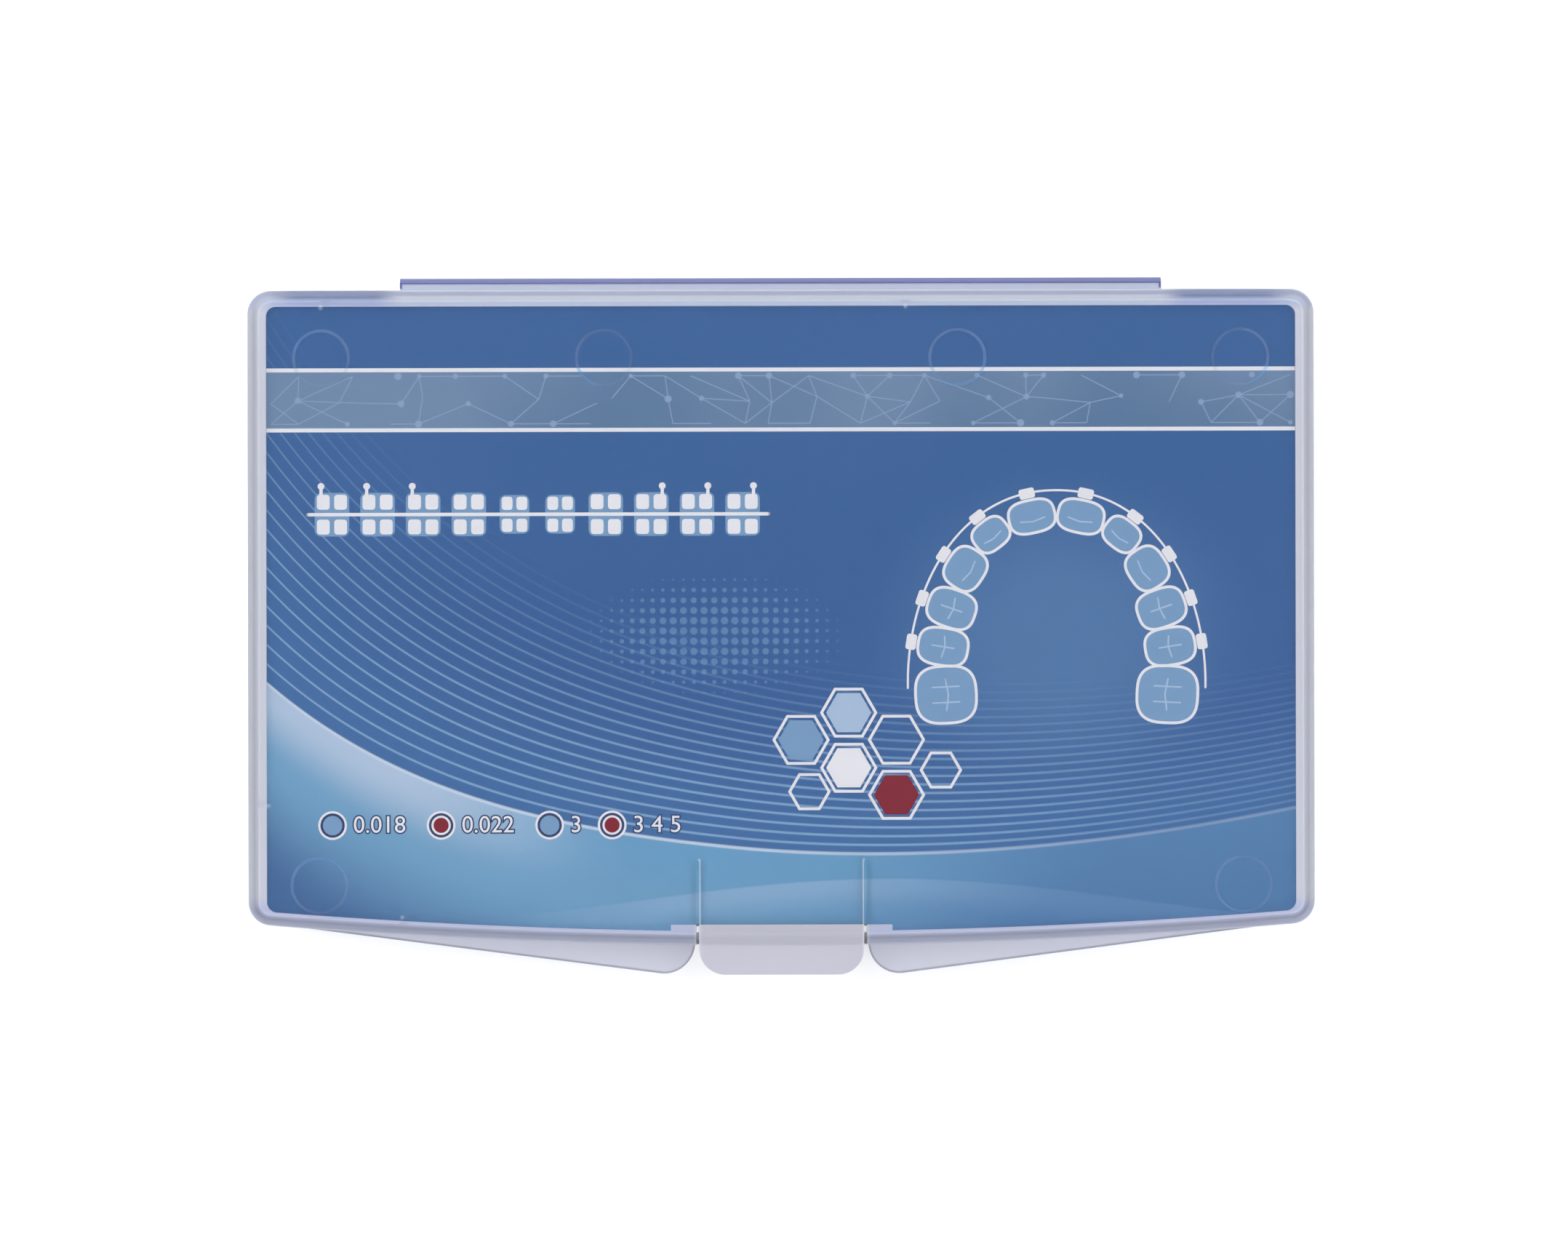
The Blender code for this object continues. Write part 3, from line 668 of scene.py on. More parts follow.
# ================================================================ print helpers
class Print:
    """Flat shapes of ink, gathered in one mesh with one material for each ink."""

    def __init__(self, name, z, inks):
        self.name, self.z, self.inks = name, z, list(inks)
        self.bm = bmesh.new()
        self.strokes = 0

    def face(self, points, ink, level=0):
        z = self.z + 0.012 * level
        if signed_area(points) < 0.0:
            points = list(reversed(points))
        face = self.bm.faces.new([self.bm.verts.new((x, y, z)) for x, y in points])
        face.material_index = self.inks.index(ink)

    def ribbon(self, points, width, ink, level=0, closed=False, caps=True):
        self.strokes += 1
        z = self.z + 0.012 * level + 0.0006 * (self.strokes % 9)
        half = width / 2.0
        count = len(points)
        left, right = [], []
        for i, (x, y) in enumerate(points):
            before = points[(i - 1) % count] if closed or i else points[i]
            after = points[(i + 1) % count] if closed or i < count - 1 else points[i]
            d = Vector((after[0] - before[0], after[1] - before[1])).normalized()
            if closed or 0 < i < count - 1:
                d0 = Vector((x - before[0], y - before[1])).normalized()
                stretch = 1.0 / max(d.dot(d0), 0.5)
            else:
                stretch = 1.0
            n = Vector((-d.y, d.x)) * half * stretch
            left.append(self.bm.verts.new((x + n.x, y + n.y, z)))
            right.append(self.bm.verts.new((x - n.x, y - n.y, z)))
        index = self.inks.index(ink)
        for i in range(count if closed else count - 1):
            j = (i + 1) % count
            self.bm.faces.new((right[i], right[j], left[j], left[i])).material_index = index
        if caps and not closed:
            for (x, y), (ix, iy), a, b in ((points[0], points[1], left[0], right[0]),
                                           (points[-1], points[-2], right[-1], left[-1])):
                back = math.degrees(math.atan2(y - iy, x - ix))
                round_end = [self.bm.verts.new((px, py, z))
                             for px, py in arc(x, y, half, back - 90.0, back + 90.0, 8)[1:-1]]
                face = self.bm.faces.new([a] + list(reversed(round_end)) + [b])
                face.normal_update()
                if face.normal.z < 0.0:
                    face.normal_flip()
                face.material_index = index

    def text(self, body, x, y, size, ink, level=0, fat=0.0, align='LEFT'):
        curve = bpy.data.curves.new("numbers", 'FONT')
        curve.body = body
        curve.size = size
        curve.offset = fat
        curve.align_x = align
        curve.align_y = 'CENTER'
        curve.resolution_u = 6
        obj = bpy.data.objects.new("numbers", curve)
        bpy.context.scene.collection.objects.link(obj)
        bpy.context.view_layer.update()
        mesh = bpy.data.meshes.new_from_object(
            obj.evaluated_get(bpy.context.evaluated_depsgraph_get()))
        mesh.transform(Matrix.Translation((x, y, self.z + 0.012 * level)))
        before = len(self.bm.faces)
        self.bm.from_mesh(mesh)
        self.bm.faces.ensure_lookup_table()
        for face in self.bm.faces[before:]:
            face.material_index = self.inks.index(ink)
            face.normal_update()
            if face.normal.z < 0.0:
                face.normal_flip()
        bpy.data.objects.remove(obj, do_unlink=True)
        bpy.data.meshes.remove(mesh)
        bpy.data.curves.remove(curve)

    def finish(self, materials, body, slot):
        mesh = bpy.data.meshes.new(self.name)
        self.bm.to_mesh(mesh)
        self.bm.free()
        mesh.transform(Matrix.Scale(MM, 4))
        for ink in self.inks:
            mesh.materials.append(materials[ink])
        obj = bpy.data.objects.new(self.name, mesh)
        bpy.context.scene.collection.objects.link(obj)
        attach(obj, body)
        return obj


def signed_area(points):
    return sum(x0 * y1 - x1 * y0 for (x0, y0), (x1, y1) in zip(points, points[1:] + points[:1])) / 2.0


def disc(cx, cy, radius, segments=40):
    return arc(cx, cy, radius, 0.0, 360.0, segments)[:-1]


def rounded(cx, cy, width, height, r, turn=0.0, segments=6):
    x, y = width / 2.0 - r, height / 2.0 - r
    points = (arc(x, -y, r, -90.0, 0.0, segments) + arc(x, y, r, 0.0, 90.0, segments)
              + arc(-x, y, r, 90.0, 180.0, segments) + arc(-x, -y, r, 180.0, 270.0, segments))
    c, s = math.cos(turn), math.sin(turn)
    return [(cx + c * px - s * py, cy + s * px + c * py) for px, py in points]


def superellipse(cx, cy, width, height, power, turn=0.0, segments=36):
    points = []
    c, s = math.cos(turn), math.sin(turn)
    for i in range(segments):
        a = 2.0 * math.pi * i / segments
        px = math.copysign(abs(math.cos(a)) ** (2.0 / power), math.cos(a)) * width / 2.0
        py = math.copysign(abs(math.sin(a)) ** (2.0 / power), math.sin(a)) * height / 2.0
        points.append((cx + c * px - s * py, cy + s * px + c * py))
    return points


def ink(name, color, roughness=0.42):
    s = Shader(name)
    grain = s.noise(3.0, 2.0)
    s.set(Base_Color=(*color, 1.0), Specular_IOR_Level=0.15,
          Roughness=s.math('MULTIPLY_ADD', grain, 0.12, roughness - 0.06))
    return s.mat


# ================================================================ printed insert
def shown(r, g, b):
    """Ink that looks like this linear colour under the lid's plate."""
    return tuple(min(max((value - veil) / gain, 0.004), 0.93)
                 for value, veil, gain in zip((r, g, b), VEIL, PLATE_GAIN))


def insert_print():
    """Blue ground with a swell of fine lines, a light band and a field of dots."""
    s = Shader("insert_print")
    x, y, z = s.coords()[1:]
    top = s.smooth(z, 11.655, 11.685)
    mist = s.noise(0.018, 2.0, 0.5)

    color = s.mix(s.smooth(y, -24.0, 36.0), shown(0.050, 0.120, 0.325), shown(0.052, 0.132, 0.335))
    color = s.mix(s.smooth(mist, 0.35, 0.65, 0.0, 0.5), color, shown(0.062, 0.140, 0.352))
    glow = distance(s, s.math('DIVIDE', x, 1.15), y, 33.5 / 1.15, -1.5)
    color = s.mix(s.smooth(glow, 4.0, 23.0, 0.55, 0.0), color, shown(0.120, 0.245, 0.470))

    # dots that fade out from the middle
    spot = distance(s, s.math('DIVIDE', x, 2.1), y, -8.0 / 2.1, -1.0)
    pitch = 1.25
    px = s.math('SUBTRACT', s.math('FRACT', s.math('DIVIDE', s.math('ADD', x, 100.0 * pitch), pitch)), 0.5)
    py = s.math('SUBTRACT', s.math('FRACT', s.math('DIVIDE', s.math('ADD', y, 100.0 * pitch), pitch)), 0.5)
    reach = s.math('SQRT', s.math('MULTIPLY_ADD', px, px, s.math('MULTIPLY', py, py)))
    size = s.smooth(spot, 2.0, 10.0, 0.36, 0.0)
    dots = s.smooth(s.math('SUBTRACT', reach, size), -0.03, 0.03, 1.0, 0.0)
    dots = s.math('MULTIPLY', dots, s.smooth(spot, 5.0, 10.0, 0.62, 0.0))
    color = s.mix(dots, color, shown(0.150, 0.290, 0.520))

    # the swell: y of its crest, and the spread of the lines over it
    fall = s.math('EXPONENT', s.math('MULTIPLY', s.math('ADD', x, 63.0), -1.0 / 26.0))
    rise = s.math('MAXIMUM', s.math('ADD', x, 5.0), 0.0)
    crest = s.math('MULTIPLY_ADD', fall, 23.0,
                   s.math('MULTIPLY_ADD', s.math('MULTIPLY', rise, rise), 7.0 / 4489.0, -29.5))
    spread = s.math('MULTIPLY_ADD', s.math('EXPONENT', s.math('MULTIPLY', s.math('ADD', x, 63.0), -1.0 / 38.0)),
                    1.5, 0.86)
    over = s.math('SUBTRACT', y, crest)
    rank = s.math('DIVIDE', over, spread)
    off = s.math('MULTIPLY', s.math('ABSOLUTE', s.math('SUBTRACT', s.math('FRACT', s.math('ADD', rank, 0.5)), 0.5)),
                 spread)
    line = s.smooth(off, 0.07, 0.22, 1.0, 0.0)
    line = s.math('MULTIPLY', line, s.math('MULTIPLY', s.smooth(rank, 0.2, 0.6),
                                           s.smooth(rank, 3.0, 23.0, 0.85, 0.0)))
    line = s.math('MULTIPLY', line, s.smooth(x, 10.0, 62.0, 1.0, 0.35))
    color = s.mix(s.smooth(rank, 0.0, 14.0, 0.45, 0.0), color, shown(0.085, 0.200, 0.430))
    color = s.mix(line, color, shown(0.235, 0.400, 0.630))

    # the water below it
    under = s.math('MULTIPLY', over, -1.0)
    near = s.mix(s.smooth(x, -48.0, -16.0), shown(0.400, 0.520, 0.710), shown(0.150, 0.350, 0.580))
    near = s.mix(s.smooth(x, 4.0, 40.0), near, shown(0.082, 0.190, 0.410))
    far = s.mix(s.smooth(x, -2.0, 34.0), shown(0.165, 0.345, 0.560), shown(0.072, 0.165, 0.375))
    water = s.mix(s.smooth(under, 1.0, 9.0), near, far)
    water = s.mix(s.smooth(under, 8.0, 24.0), water, shown(0.068, 0.150, 0.338))
    water = s.mix(s.math('MULTIPLY', s.smooth(mist, 0.40, 0.62), 0.35), water, shown(0.130, 0.280, 0.500))
    second = s.math('ADD', s.math('MULTIPLY', s.math('SINE', s.math('MULTIPLY_ADD', x, 0.052, 0.9)), 2.6), -33.4)
    lower = s.math('SUBTRACT', second, y)
    ribbon = s.math('MULTIPLY', s.smooth(lower, -0.10, 0.15), s.smooth(lower, 0.5, 4.5, 0.55, 0.0))
    glint = s.mix(s.smooth(x, 0.0, 40.0), shown(0.300, 0.450, 0.660), shown(0.130, 0.260, 0.490))
    water = s.mix(s.math('MULTIPLY', ribbon, s.smooth(x, -40.0, 0.0)), water, glint)
    color = s.mix(s.smooth(over, -0.06, 0.06, 1.0, 0.0), color, water)
    foam = s.math('MULTIPLY', s.smooth(s.math('ABSOLUTE', over), 0.05, 0.32, 0.9, 0.0),
                  s.smooth(x, -20.0, 55.0, 1.0, 0.3))
    color = s.mix(foam, color, shown(0.560, 0.660, 0.800))

    # light band
    band_tone = s.mix(s.smooth(mist, 0.42, 0.60), shown(0.108, 0.195, 0.352), shown(0.165, 0.255, 0.420))
    color = s.mix(band(s, y, 24.1, 30.9, 0.04), color, band_tone)

    fibres = s.noise(1.6, 4.0, 0.6)
    paper = s.mix(fibres, (0.40, 0.40, 0.395), (0.46, 0.46, 0.45))
    s.set(Base_Color=s.mix(top, paper, color), Specular_IOR_Level=0.15,
          Roughness=s.math('MULTIPLY_ADD', top, -0.42, s.math('MULTIPLY_ADD', fibres, 0.10, 0.80)))
    s.bump(s.math('MULTIPLY', fibres, s.math('MULTIPLY_ADD', top, -0.8, 1.0)), 0.25, 0.03)
    return s.mat


def build_insert():
    z0, z1 = INSERT_TOP - INSERT_T, INSERT_TOP
    points = outline(0.0, half=INSERT_HALF, rear=INSERT_REAR, front=INSERT_FRONT,
                     corner=INSERT_CORNER, front_segments=60, corner_segments=10)
    insert = prism_z("insert_sheet", points, z0, z1)
    r = 0.7
    notch = [(-NOTCH_HALF, -41.0), (NOTCH_HALF, -41.0)]
    notch += arc(NOTCH_HALF - r, NOTCH_Y - r, r, 0.0, 90.0, 10)
    notch += arc(-NOTCH_HALF + r, NOTCH_Y - r, r, 90.0, 180.0, 10)
    boolean(insert, prism_z("notch", notch, z0 - 1.0, z1 + 1.0), 'DIFFERENCE')
    round_edges(insert, 0.04, 2)
    finish(insert, insert_print(), "lid", "printed_insert")


def build_insert_shapes():
    inks = {
        "white": ink("ink_white", shown(0.75, 0.775, 0.86)),
        "mist": ink("ink_mist", shown(0.245, 0.350, 0.550)),
        "pale": ink("ink_pale", shown(0.37, 0.50, 0.70)),
        "sky": ink("ink_sky", shown(0.19, 0.33, 0.55)),
        "navy": ink("ink_navy", shown(0.045, 0.065, 0.165)),
        "red": ink("ink_red", shown(0.225, 0.030, 0.055)),
    }
    sheet = Print("insert_print_shapes", INSERT_TOP + 0.015, inks)

    # band and its net
    for y in (23.85, 31.15):
        sheet.face([(-62.57, y - 0.24), (62.57, y - 0.24), (62.57, y + 0.24), (-62.57, y + 0.24)], "white")
    rng = random.Random(7)
    columns, rows = 27, 3
    knots = [[(-62.0 + 124.0 * i / (columns - 1) + rng.uniform(-1.6, 1.6) * (0 < i < columns - 1),
               24.6 + 5.8 * j / (rows - 1) + rng.uniform(-0.5, 0.5) * (j == 1))
              for j in range(rows)] for i in range(columns)]
    for i in range(columns):
        for j in range(rows):
            for di, dj in ((1, 0), (0, 1), (1, 1), (1, -1)):
                a, b = i + di, j + dj
                if a < columns and 0 <= b < rows and rng.random() < 0.36:
                    sheet.ribbon([knots[i][j], knots[a][b]], 0.12, "mist", caps=False)
            if rng.random() < 0.5:
                sheet.face(disc(*knots[i][j], 0.26 + 0.2 * rng.random(), 14), "mist", 1)

    # a row of brackets on their wire
    wire_y = 13.6
    wave = [(-57.5 + 56.0 * i / 60, wire_y) for i in range(61)]
    sheet.ribbon(wave, 0.42, "white", 3)
    for n in range(10):
        x = -54.6 + 5.55 * n
        small = n in (4, 5)
        w, h = (3.3, 4.6) if small else (3.9, 5.2)
        sheet.face(rounded(x, wire_y, w + 0.3, h + 0.1, 0.75), "sky", 1)
        for sx in (-1.0, 1.0):
            for sy in (-1.0, 1.0):
                sheet.face(rounded(x + sx * w * 0.27, wire_y + sy * h * 0.29, w * 0.40, h * 0.35, 0.38),
                           "white", 2)
        if n in (0, 1, 2, 7, 8, 9):
            hx = x + (-w * 0.34 if n < 5 else w * 0.34)
            sheet.ribbon([(hx, wire_y + h * 0.455), (hx, wire_y + h * 0.62)], 0.40, "white", 2, caps=False)
            sheet.face(disc(hx, wire_y + h * 0.66, 0.42, 16), "white", 3)

    # dental arch seen on its chewing faces, with the wire round it
    cx, cy, a, b = 33.5, -7.0, 15.2, 20.5
    curve = []
    for i in range(721):
        t = math.radians(-22.0 + 224.0 * i / 720)
        curve.append((cx + a * math.copysign(abs(math.cos(t)) ** 0.92, math.cos(t)), cy + b * math.sin(t)))
    run = [0.0]
    for p, q in zip(curve, curve[1:]):
        run.append(run[-1] + math.dist(p, q))
    middle = run[-1] / 2.0

    def on_arch(length):
        length = min(max(length, 0.0), run[-1])
        i = max(k for k in range(len(run)) if run[k] <= length)
        i = min(i, len(curve) - 2)
        f = (length - run[i]) / max(run[i + 1] - run[i], 1e-6)
        (x0, y0), (x1, y1) = curve[i], curve[i + 1]
        return (x0 + (x1 - x0) * f, y0 + (y1 - y0) * f), math.atan2(y1 - y0, x1 - x0)

    widths = (6.0, 4.9, 5.5, 5.0, 4.9, 7.3)
    depths = (4.0, 3.7, 4.7, 5.9, 6.1, 7.4)
    for side in (-1.0, 1.0):
        length = middle
        for k, (w, d) in enumerate(zip(widths, depths)):
            length += side * w / 2.0
            (x, y), turn = on_arch(length)
            length += side * w / 2.0
            n = Vector((math.sin(turn), -math.cos(turn)))
            x, y = x - n.x * (d / 2.0 - 2.0), y - n.y * (d / 2.0 - 2.0)
            if (x - cx) * n.x + (y - cy) * n.y < 0.0:
                n = -n
            cell = superellipse(x, y, w - 0.35, d, 2.9, turn, 40)
            sheet.face(cell, "sky", 1)
            sheet.ribbon(cell, 0.34, "white", 2, closed=True)
            c, s_ = math.cos(turn), math.sin(turn)
            if k >= 3:
                groove = [(-0.26 * w, 0.0), (0.0, 0.04 * d), (0.26 * w, 0.0)]
                sheet.ribbon([(x + c * px - s_ * py, y + s_ * px + c * py) for px, py in groove], 0.20, "pale", 2)
                for gx in ((0.0,) if k < 5 else (-0.13 * w, 0.13 * w)):
                    groove = [(gx, -0.22 * d), (gx, 0.22 * d)]
                    sheet.ribbon([(x + c * px - s_ * py, y + s_ * px + c * py) for px, py in groove],
                                 0.20, "pale", 2)
            else:
                groove = [(-0.25 * w, 0.10 * d), (0.0, 0.16 * d), (0.25 * w, 0.10 * d)]
                sheet.ribbon([(x + c * px - s_ * py, y + s_ * px + c * py) for px, py in groove], 0.18, "pale", 2)
            if k < 5:
                bx, by = x + n.x * (d / 2.0 + 0.85), y + n.y * (d / 2.0 + 0.85)
                sheet.face(rounded(bx, by, 1.9, 1.25, 0.3, turn), "white", 3)
    wire = []
    for i in range(121):
        (x, y), turn = on_arch(middle + (i - 60) / 60.0 * 29.0)
        n = Vector((math.sin(turn), -math.cos(turn)))
        if (x - cx) * n.x + (y - cy) * n.y < 0.0:
            n = -n
        wire.append((x + n.x * 2.9, y + n.y * 2.9))
    sheet.ribbon(wire, 0.26, "white", 2)

    # a cluster of cells
    cells = ((8.2, -10.6, "pale", 3.3), (14.0, -13.9, None, 3.3), (8.2, -17.3, "white", 3.3),
             (2.4, -13.9, "sky", 3.3), (14.0, -20.6, "red", 3.3), (19.4, -17.6, None, 2.4),
             (3.4, -20.2, None, 2.4))
    for x, y, fill, r in cells:
        outer = [(x + r * math.cos(math.radians(60 * k)), y + r * math.sin(math.radians(60 * k))) for k in range(6)]
        if fill:
            inner = [(x + (r - 0.55) * math.cos(math.radians(60 * k)),
                      y + (r - 0.55) * math.sin(math.radians(60 * k))) for k in range(6)]
            sheet.face(inner, fill, 1)
        sheet.ribbon(outer, 0.34, "white", 2, closed=True)

    # ticks with plain numbers
    ticks = ((-54.6, -24.2, "0.018", False), (-41.4, -24.2, "0.022", True),
             (-28.2, -24.2, "3", False), (-20.6, -24.2, "3 4 5", True))
    for x, y, number, ticked in ticks:
        sheet.face(disc(x, y, 1.75), "white", 1)
        sheet.face(disc(x, y, 1.48), "navy", 2)
        sheet.face(disc(x, y, 1.18), "white" if ticked else "sky", 3)
        if ticked:
            sheet.face(disc(x, y, 0.92), "red", 4)
        sheet.text(number, x + 2.5, y, 2.9, "navy", 1, 0.16)
        sheet.text(number, x + 2.5, y, 2.9, "white", 2)
    sheet.finish(inks, "lid", "printed_card")


# ================================================================ inside
def white_card():
    s = Shader("white_card")
    fibres = s.noise(1.6, 4.0, 0.6)
    flecks = s.noise(6.0, 2.0, 0.5)
    color = s.mix(fibres, (0.42, 0.425, 0.43), (0.48, 0.485, 0.49))
    color = s.mix(s.smooth(flecks, 0.62, 0.70, 0.0, 0.35), color, (0.36, 0.36, 0.36))
    s.set(Base_Color=color, Specular_IOR_Level=0.35,
          Roughness=s.math('MULTIPLY_ADD', fibres, 0.12, 0.62))
    s.bump(fibres, 0.25, 0.03)
    return s.mat


def build_bracket_card():
    points = rounded(0.0, (CARD_Y[0] + CARD_Y[1]) / 2.0, 2.0 * CARD_HALF, CARD_Y[1] - CARD_Y[0],
                     CARD_CORNER, 0.0, 12)
    card = prism_z("bracket_card_sheet", points, *CARD_Z)
    round_edges(card, 0.04, 2)
    finish(card, white_card(), "base", "bracket_card")

    inks = {
        "blue": ink("card_blue", (0.035, 0.110, 0.300)),
        "sky": ink("card_sky", (0.17, 0.31, 0.48)),
        "grey": ink("card_grey", (0.20, 0.22, 0.26)),
    }
    sheet = Print("bracket_card_print", CARD_Z[1] + 0.010, inks)
    mid = (ROW_Y["upper"] + ROW_Y["lower"]) / 2.0
    border = rounded(0.0, (CARD_Y[0] + CARD_Y[1]) / 2.0, 2.0 * CARD_HALF - 3.2,
                     CARD_Y[1] - CARD_Y[0] - 3.2, 1.8, 0.0, 10)
    sheet.ribbon(border, 0.35, "sky", closed=True)
    sheet.face(rounded(0.0, 31.4, 2.0 * CARD_HALF - 9.0, 3.4, 1.7, 0.0, 12), "sky")
    sheet.face(rounded(0.0, -27.4, 2.0 * CARD_HALF - 9.0, 3.4, 1.7, 0.0, 12), "sky")
    sheet.ribbon([(-54.0, mid), (54.0, mid)], 0.30, "blue")
    sheet.ribbon([(0.0, mid - 17.5), (0.0, ROW_Y["lower"] - STRIP_H / 2.0 - 0.4)], 0.30, "blue")
    sheet.ribbon([(0.0, ROW_Y["lower"] + STRIP_H / 2.0 + 0.4), (0.0, ROW_Y["upper"] - STRIP_H / 2.0 - 0.4)],
                 0.30, "blue")
    sheet.ribbon([(0.0, ROW_Y["upper"] + STRIP_H / 2.0 + 0.4), (0.0, mid + 17.5)], 0.30, "blue")
    for sign in (-1.0, 1.0):
        for tooth in range(1, 6):
            x = sign * PITCH * (tooth - 0.5)
            hooked = TEETH["upper"][tooth - 1][1]
            for y, edge in ((ROW_Y["upper"] + 8.2, 4.95), (ROW_Y["lower"] - 8.2, -4.95)):
                sheet.text(str(tooth), x, y, 3.6, "blue", 0, 0.0, 'CENTER')
                row = ROW_Y["upper"] if y > 0 else ROW_Y["lower"]
                sheet.face(disc(x, row + edge + math.copysign(0.75, edge), 0.28, 16), "blue")
                if hooked:
                    sheet.face(disc(x + sign * 2.2, y, 0.5, 20), "grey")
    sheet.finish(inks, "base", "bracket_card")


def gel_pad():
    s = Shader("gel_pad")
    bubbles = s.noise(2.2, 3.0, 0.6)
    s.set(Base_Color=s.mix(bubbles, (0.62, 0.66, 0.72), (0.70, 0.73, 0.78)), IOR=1.42,
          Transmission_Weight=0.55, Roughness=s.math('MULTIPLY_ADD', bubbles, 0.18, 0.16))
    s.bump(s.noise(0.8, 4.0, 0.65), 0.35, 0.06)
    return s.mat


def ceramic():
    s = Shader("ceramic")
    cloud = s.noise(0.9, 3.0, 0.5)
    s.set(Base_Color=s.mix(cloud, (0.60, 0.60, 0.60), (0.68, 0.68, 0.67)), IOR=1.6,
          Transmission_Weight=0.35, Roughness=s.math('MULTIPLY_ADD', cloud, 0.10, 0.16),
          Coat_Weight=0.3, Coat_Roughness=0.08)
    s.bump(s.noise(7.0, 3.0, 0.6), 0.12, 0.01)
    return s.mat


def bracket_pattern(width, hook):
    """One twin bracket, pad down, slot along X, gingival side towards +Y, hook on +X."""
    h = BRACKET_H / 2.0
    curve = [(-h + 2.0 * h * i / 12, 0.11 * (1.0 - (1.0 - 2.0 * i / 12) ** 2)) for i in range(13)]
    pad = prism_x("pad", curve + [(h, 0.36), (h - 0.18, 0.50), (-h + 0.18, 0.50), (-h, 0.36)],
                  -width / 2 - 0.18, width / 2 + 0.18)
    right = [(1.18, 0.40), (1.00, 0.72), (1.00, 1.12), (h - 0.05, 1.34), (h, 1.56),
             (h - 0.04, 1.80), (h - 0.14, 1.98), (1.34, 2.12), (1.16, 2.18), (0.36, 2.18),
             (0.29, 2.10), (0.29, 1.42)]
    left = [(-y, z) for y, z in reversed(right)]
    boolean(pad, prism_x("body", right + left, -width / 2, width / 2), 'UNION')
    channel = prism_x("channel", [(-h - 1.0, 1.02), (h + 1.0, 1.02), (h + 1.0, 3.0), (-h - 1.0, 3.0)],
                      -0.42, 0.42)
    boolean(pad, channel, 'DIFFERENCE')
    if hook:
        x = width / 2 - 0.42
        arm = loft("arm", [[(x + 0.20 * math.cos(a), y, z + 0.20 * math.sin(a))
                            for a in (math.radians(15.0 + 30.0 * k) for k in range(12))]
                           for y, z in ((1.20, 1.62), (1.95, 1.66))])
        boolean(pad, arm, 'UNION')
        bm = bmesh.new()
        bmesh.ops.create_uvsphere(bm, u_segments=20, v_segments=12, radius=0.34,
                                  matrix=Matrix.Translation((x, 2.08, 1.67)))
        boolean(pad, mesh_object("ball", bm), 'UNION')
    # painted mark on the distal gingival wing, a flat drop of ink
    drops = bmesh.new()
    drops.from_mesh(pad.data)
    start = len(drops.faces)
    bmesh.ops.create_uvsphere(
        drops, u_segments=16, v_segments=8, radius=0.26,
        matrix=Matrix.Translation((width / 4.0 + 0.21, 0.78, 2.17)) @ Matrix.Diagonal((1.0, 1.0, 0.28, 1.0)))
    drops.faces.ensure_lookup_table()
    for face in drops.faces[start:]:
        face.material_index = 1
    drops.to_mesh(pad.data)
    drops.free()
    round_edges(pad, 0.075, 3, 34.0)
    return pad


def build_brackets():
    body = ceramic()
    paints = {}
    tones = {("upper", 1): (0.75, 0.10, 0.22), ("upper", 2): (0.80, 0.42, 0.06),
             ("upper", 3): (0.04, 0.16, 0.62), ("upper", 4): (0.05, 0.42, 0.14),
             ("upper", 5): (0.38, 0.05, 0.46), ("lower", 1): (0.80, 0.72, 0.10),
             ("lower", 2): (0.05, 0.52, 0.62), ("lower", 3): (0.04, 0.16, 0.62),
             ("lower", 4): (0.05, 0.42, 0.14), ("lower", 5): (0.38, 0.05, 0.46)}
    for (row, tooth), tone in tones.items():
        if tone not in paints:
            paints[tone] = ink("mark_%d" % (len(paints) + 1), tone, 0.3)
        width, hook = TEETH[row][tooth - 1]
        pattern = bracket_pattern(width, hook)
        for side in ("right", "left"):
            sign = -1.0 if side == "right" else 1.0
            flip = 1.0 if row == "upper" else -1.0
            mesh = pattern.data.copy()
            mesh.transform(Matrix.Diagonal((sign, flip, 1.0, 1.0)))
            if sign * flip < 0.0:
                mesh.flip_normals()
            mesh.transform(Matrix.Translation((sign * PITCH * (tooth - 0.5), ROW_Y[row], BRACKET_Z)))
            mesh.transform(Matrix.Scale(MM, 4))
            mesh.materials.clear()
            mesh.materials.append(body)
            mesh.materials.append(paints[tone])
            name = "bracket_%s_%s_%d" % (row, side, tooth)
            obj = bpy.data.objects.new("ceramic_" + name, mesh)
            bpy.context.scene.collection.objects.link(obj)
            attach(obj, "base")
            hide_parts(name)
        bpy.data.objects.remove(pattern, do_unlink=True)


def build_strips():
    gel = gel_pad()
    for row, y in ROW_Y.items():
        points = rounded(0.0, y, 2.0 * STRIP_HALF, STRIP_H, 0.6, 0.0, 8)
        strip = prism_z("gel_strip_" + row, points, *STRIP_Z)
        round_edges(strip, 0.10, 3)
        finish(strip, gel, "base", "adhesive_strip_" + row)


# ================================================================ build
plastic = clear_plastic("clear_case", (0.95, 0.95, 0.98), (0.48, 0.48, 0.55), (0.675, 0.685, 0.775),
                        (0.24, 0.27, 0.56))

lid = finish(build_lid(), plastic, "lid", "case_lid")
base = finish(build_base(), plastic, "base", "case_base")
film = build_film()
film.data.transform(Matrix.Scale(MM, 4))
film.data.materials.append(plastic)
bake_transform(film)

build_insert()
build_insert_shapes()
build_bracket_card()
build_strips()
build_brackets()

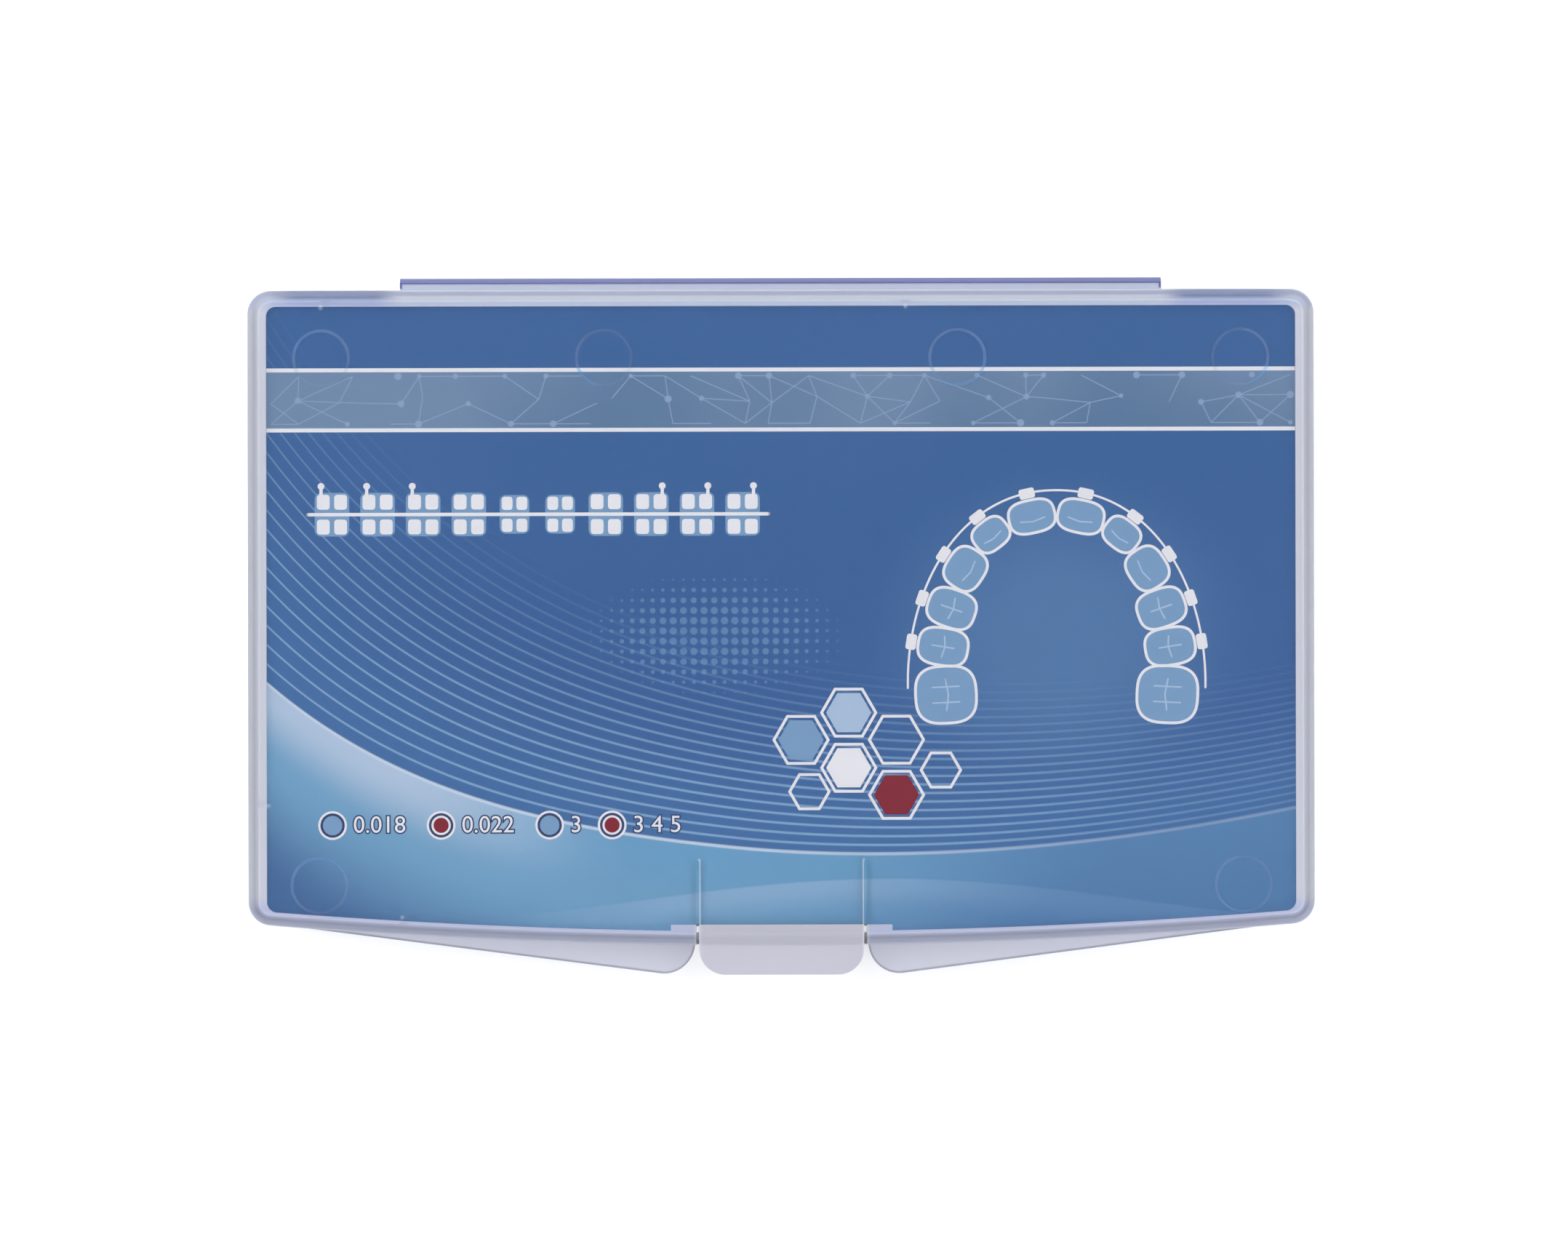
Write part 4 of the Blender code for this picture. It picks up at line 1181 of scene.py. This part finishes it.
# ================================================================ stage
def build_stage():
    bm = bmesh.new()
    steps, size = 24, 2.4
    grid = [[bm.verts.new((-size / 2 + size * i / steps, -size / 2 + size * j / steps, -0.00002))
             for i in range(steps + 1)] for j in range(steps + 1)]
    for j in range(steps):
        for i in range(steps):
            bm.faces.new((grid[j][i], grid[j][i + 1], grid[j + 1][i + 1], grid[j + 1][i]))
    floor = mesh_object("floor", bm)
    s = Shader("pale_floor")
    tone = s.mix(s.noise(0.01, 2.0), (0.90, 0.90, 0.90), (0.92, 0.92, 0.92))
    s.set(Base_Color=tone, Roughness=0.9, Specular_IOR_Level=0.2)
    floor.data.materials.append(s.mat)

    world = bpy.data.worlds.new("soft_studio")
    bpy.context.scene.world = world
    world.use_nodes = True
    tree = world.node_tree
    background = tree.nodes["Background"]
    tex = tree.nodes.new("ShaderNodeTexCoord")
    split = tree.nodes.new("ShaderNodeSeparateXYZ")
    ramp = tree.nodes.new("ShaderNodeMapRange")
    ramp.interpolation_type = 'SMOOTHSTEP'
    tree.links.new(tex.outputs["Generated"], split.inputs[0])
    tree.links.new(split.outputs[2], ramp.inputs["Value"])
    ramp.inputs["From Min"].default_value = 0.80
    ramp.inputs["From Max"].default_value = 0.96
    ramp.inputs["To Min"].default_value = 1.7
    ramp.inputs["To Max"].default_value = 0.18
    background.inputs["Color"].default_value = (0.985, 0.99, 1.0, 1.0)
    tree.links.new(ramp.outputs["Result"], background.inputs["Strength"])


def area_light(name, location, size, power, target=(0.0, 0.0, 0.005)):
    light = bpy.data.lights.new(name, 'AREA')
    light.shape = 'RECTANGLE'
    light.size, light.size_y = size
    light.energy = power
    obj = bpy.data.objects.new(name, light)
    bpy.context.scene.collection.objects.link(obj)
    obj.location = location
    obj.rotation_euler = (Vector(target) - Vector(location)).to_track_quat('-Z', 'Y').to_euler()
    return obj


def build_camera():
    data = bpy.data.cameras.new("camera")
    distance = 1.0
    data.sensor_width = 36.0
    data.lens = 36.0 * distance / 0.19055
    data.clip_start, data.clip_end = 0.01, 10.0
    camera = bpy.data.objects.new("camera", data)
    bpy.context.scene.collection.objects.link(camera)
    camera.location = (0.354 * MM, -0.23 * MM, 13.0 * MM + distance)
    camera.rotation_euler = (0.0, 0.0, math.radians(-0.118))
    bpy.context.scene.camera = camera


build_stage()
area_light("key", (-0.60, 0.50, 0.70), (1.0, 0.9), 6.0)
area_light("fill", (0.65, -0.45, 0.60), (0.9, 0.8), 4.0)
build_camera()
bpy.context.scene.view_settings.view_transform = 'Standard'
cycles = bpy.context.scene.cycles
cycles.max_bounces = 10
cycles.diffuse_bounces = 3
cycles.glossy_bounces = 3
cycles.transmission_bounces = 10
cycles.sample_clamp_indirect = 2.0
cycles.transparent_max_bounces = 8
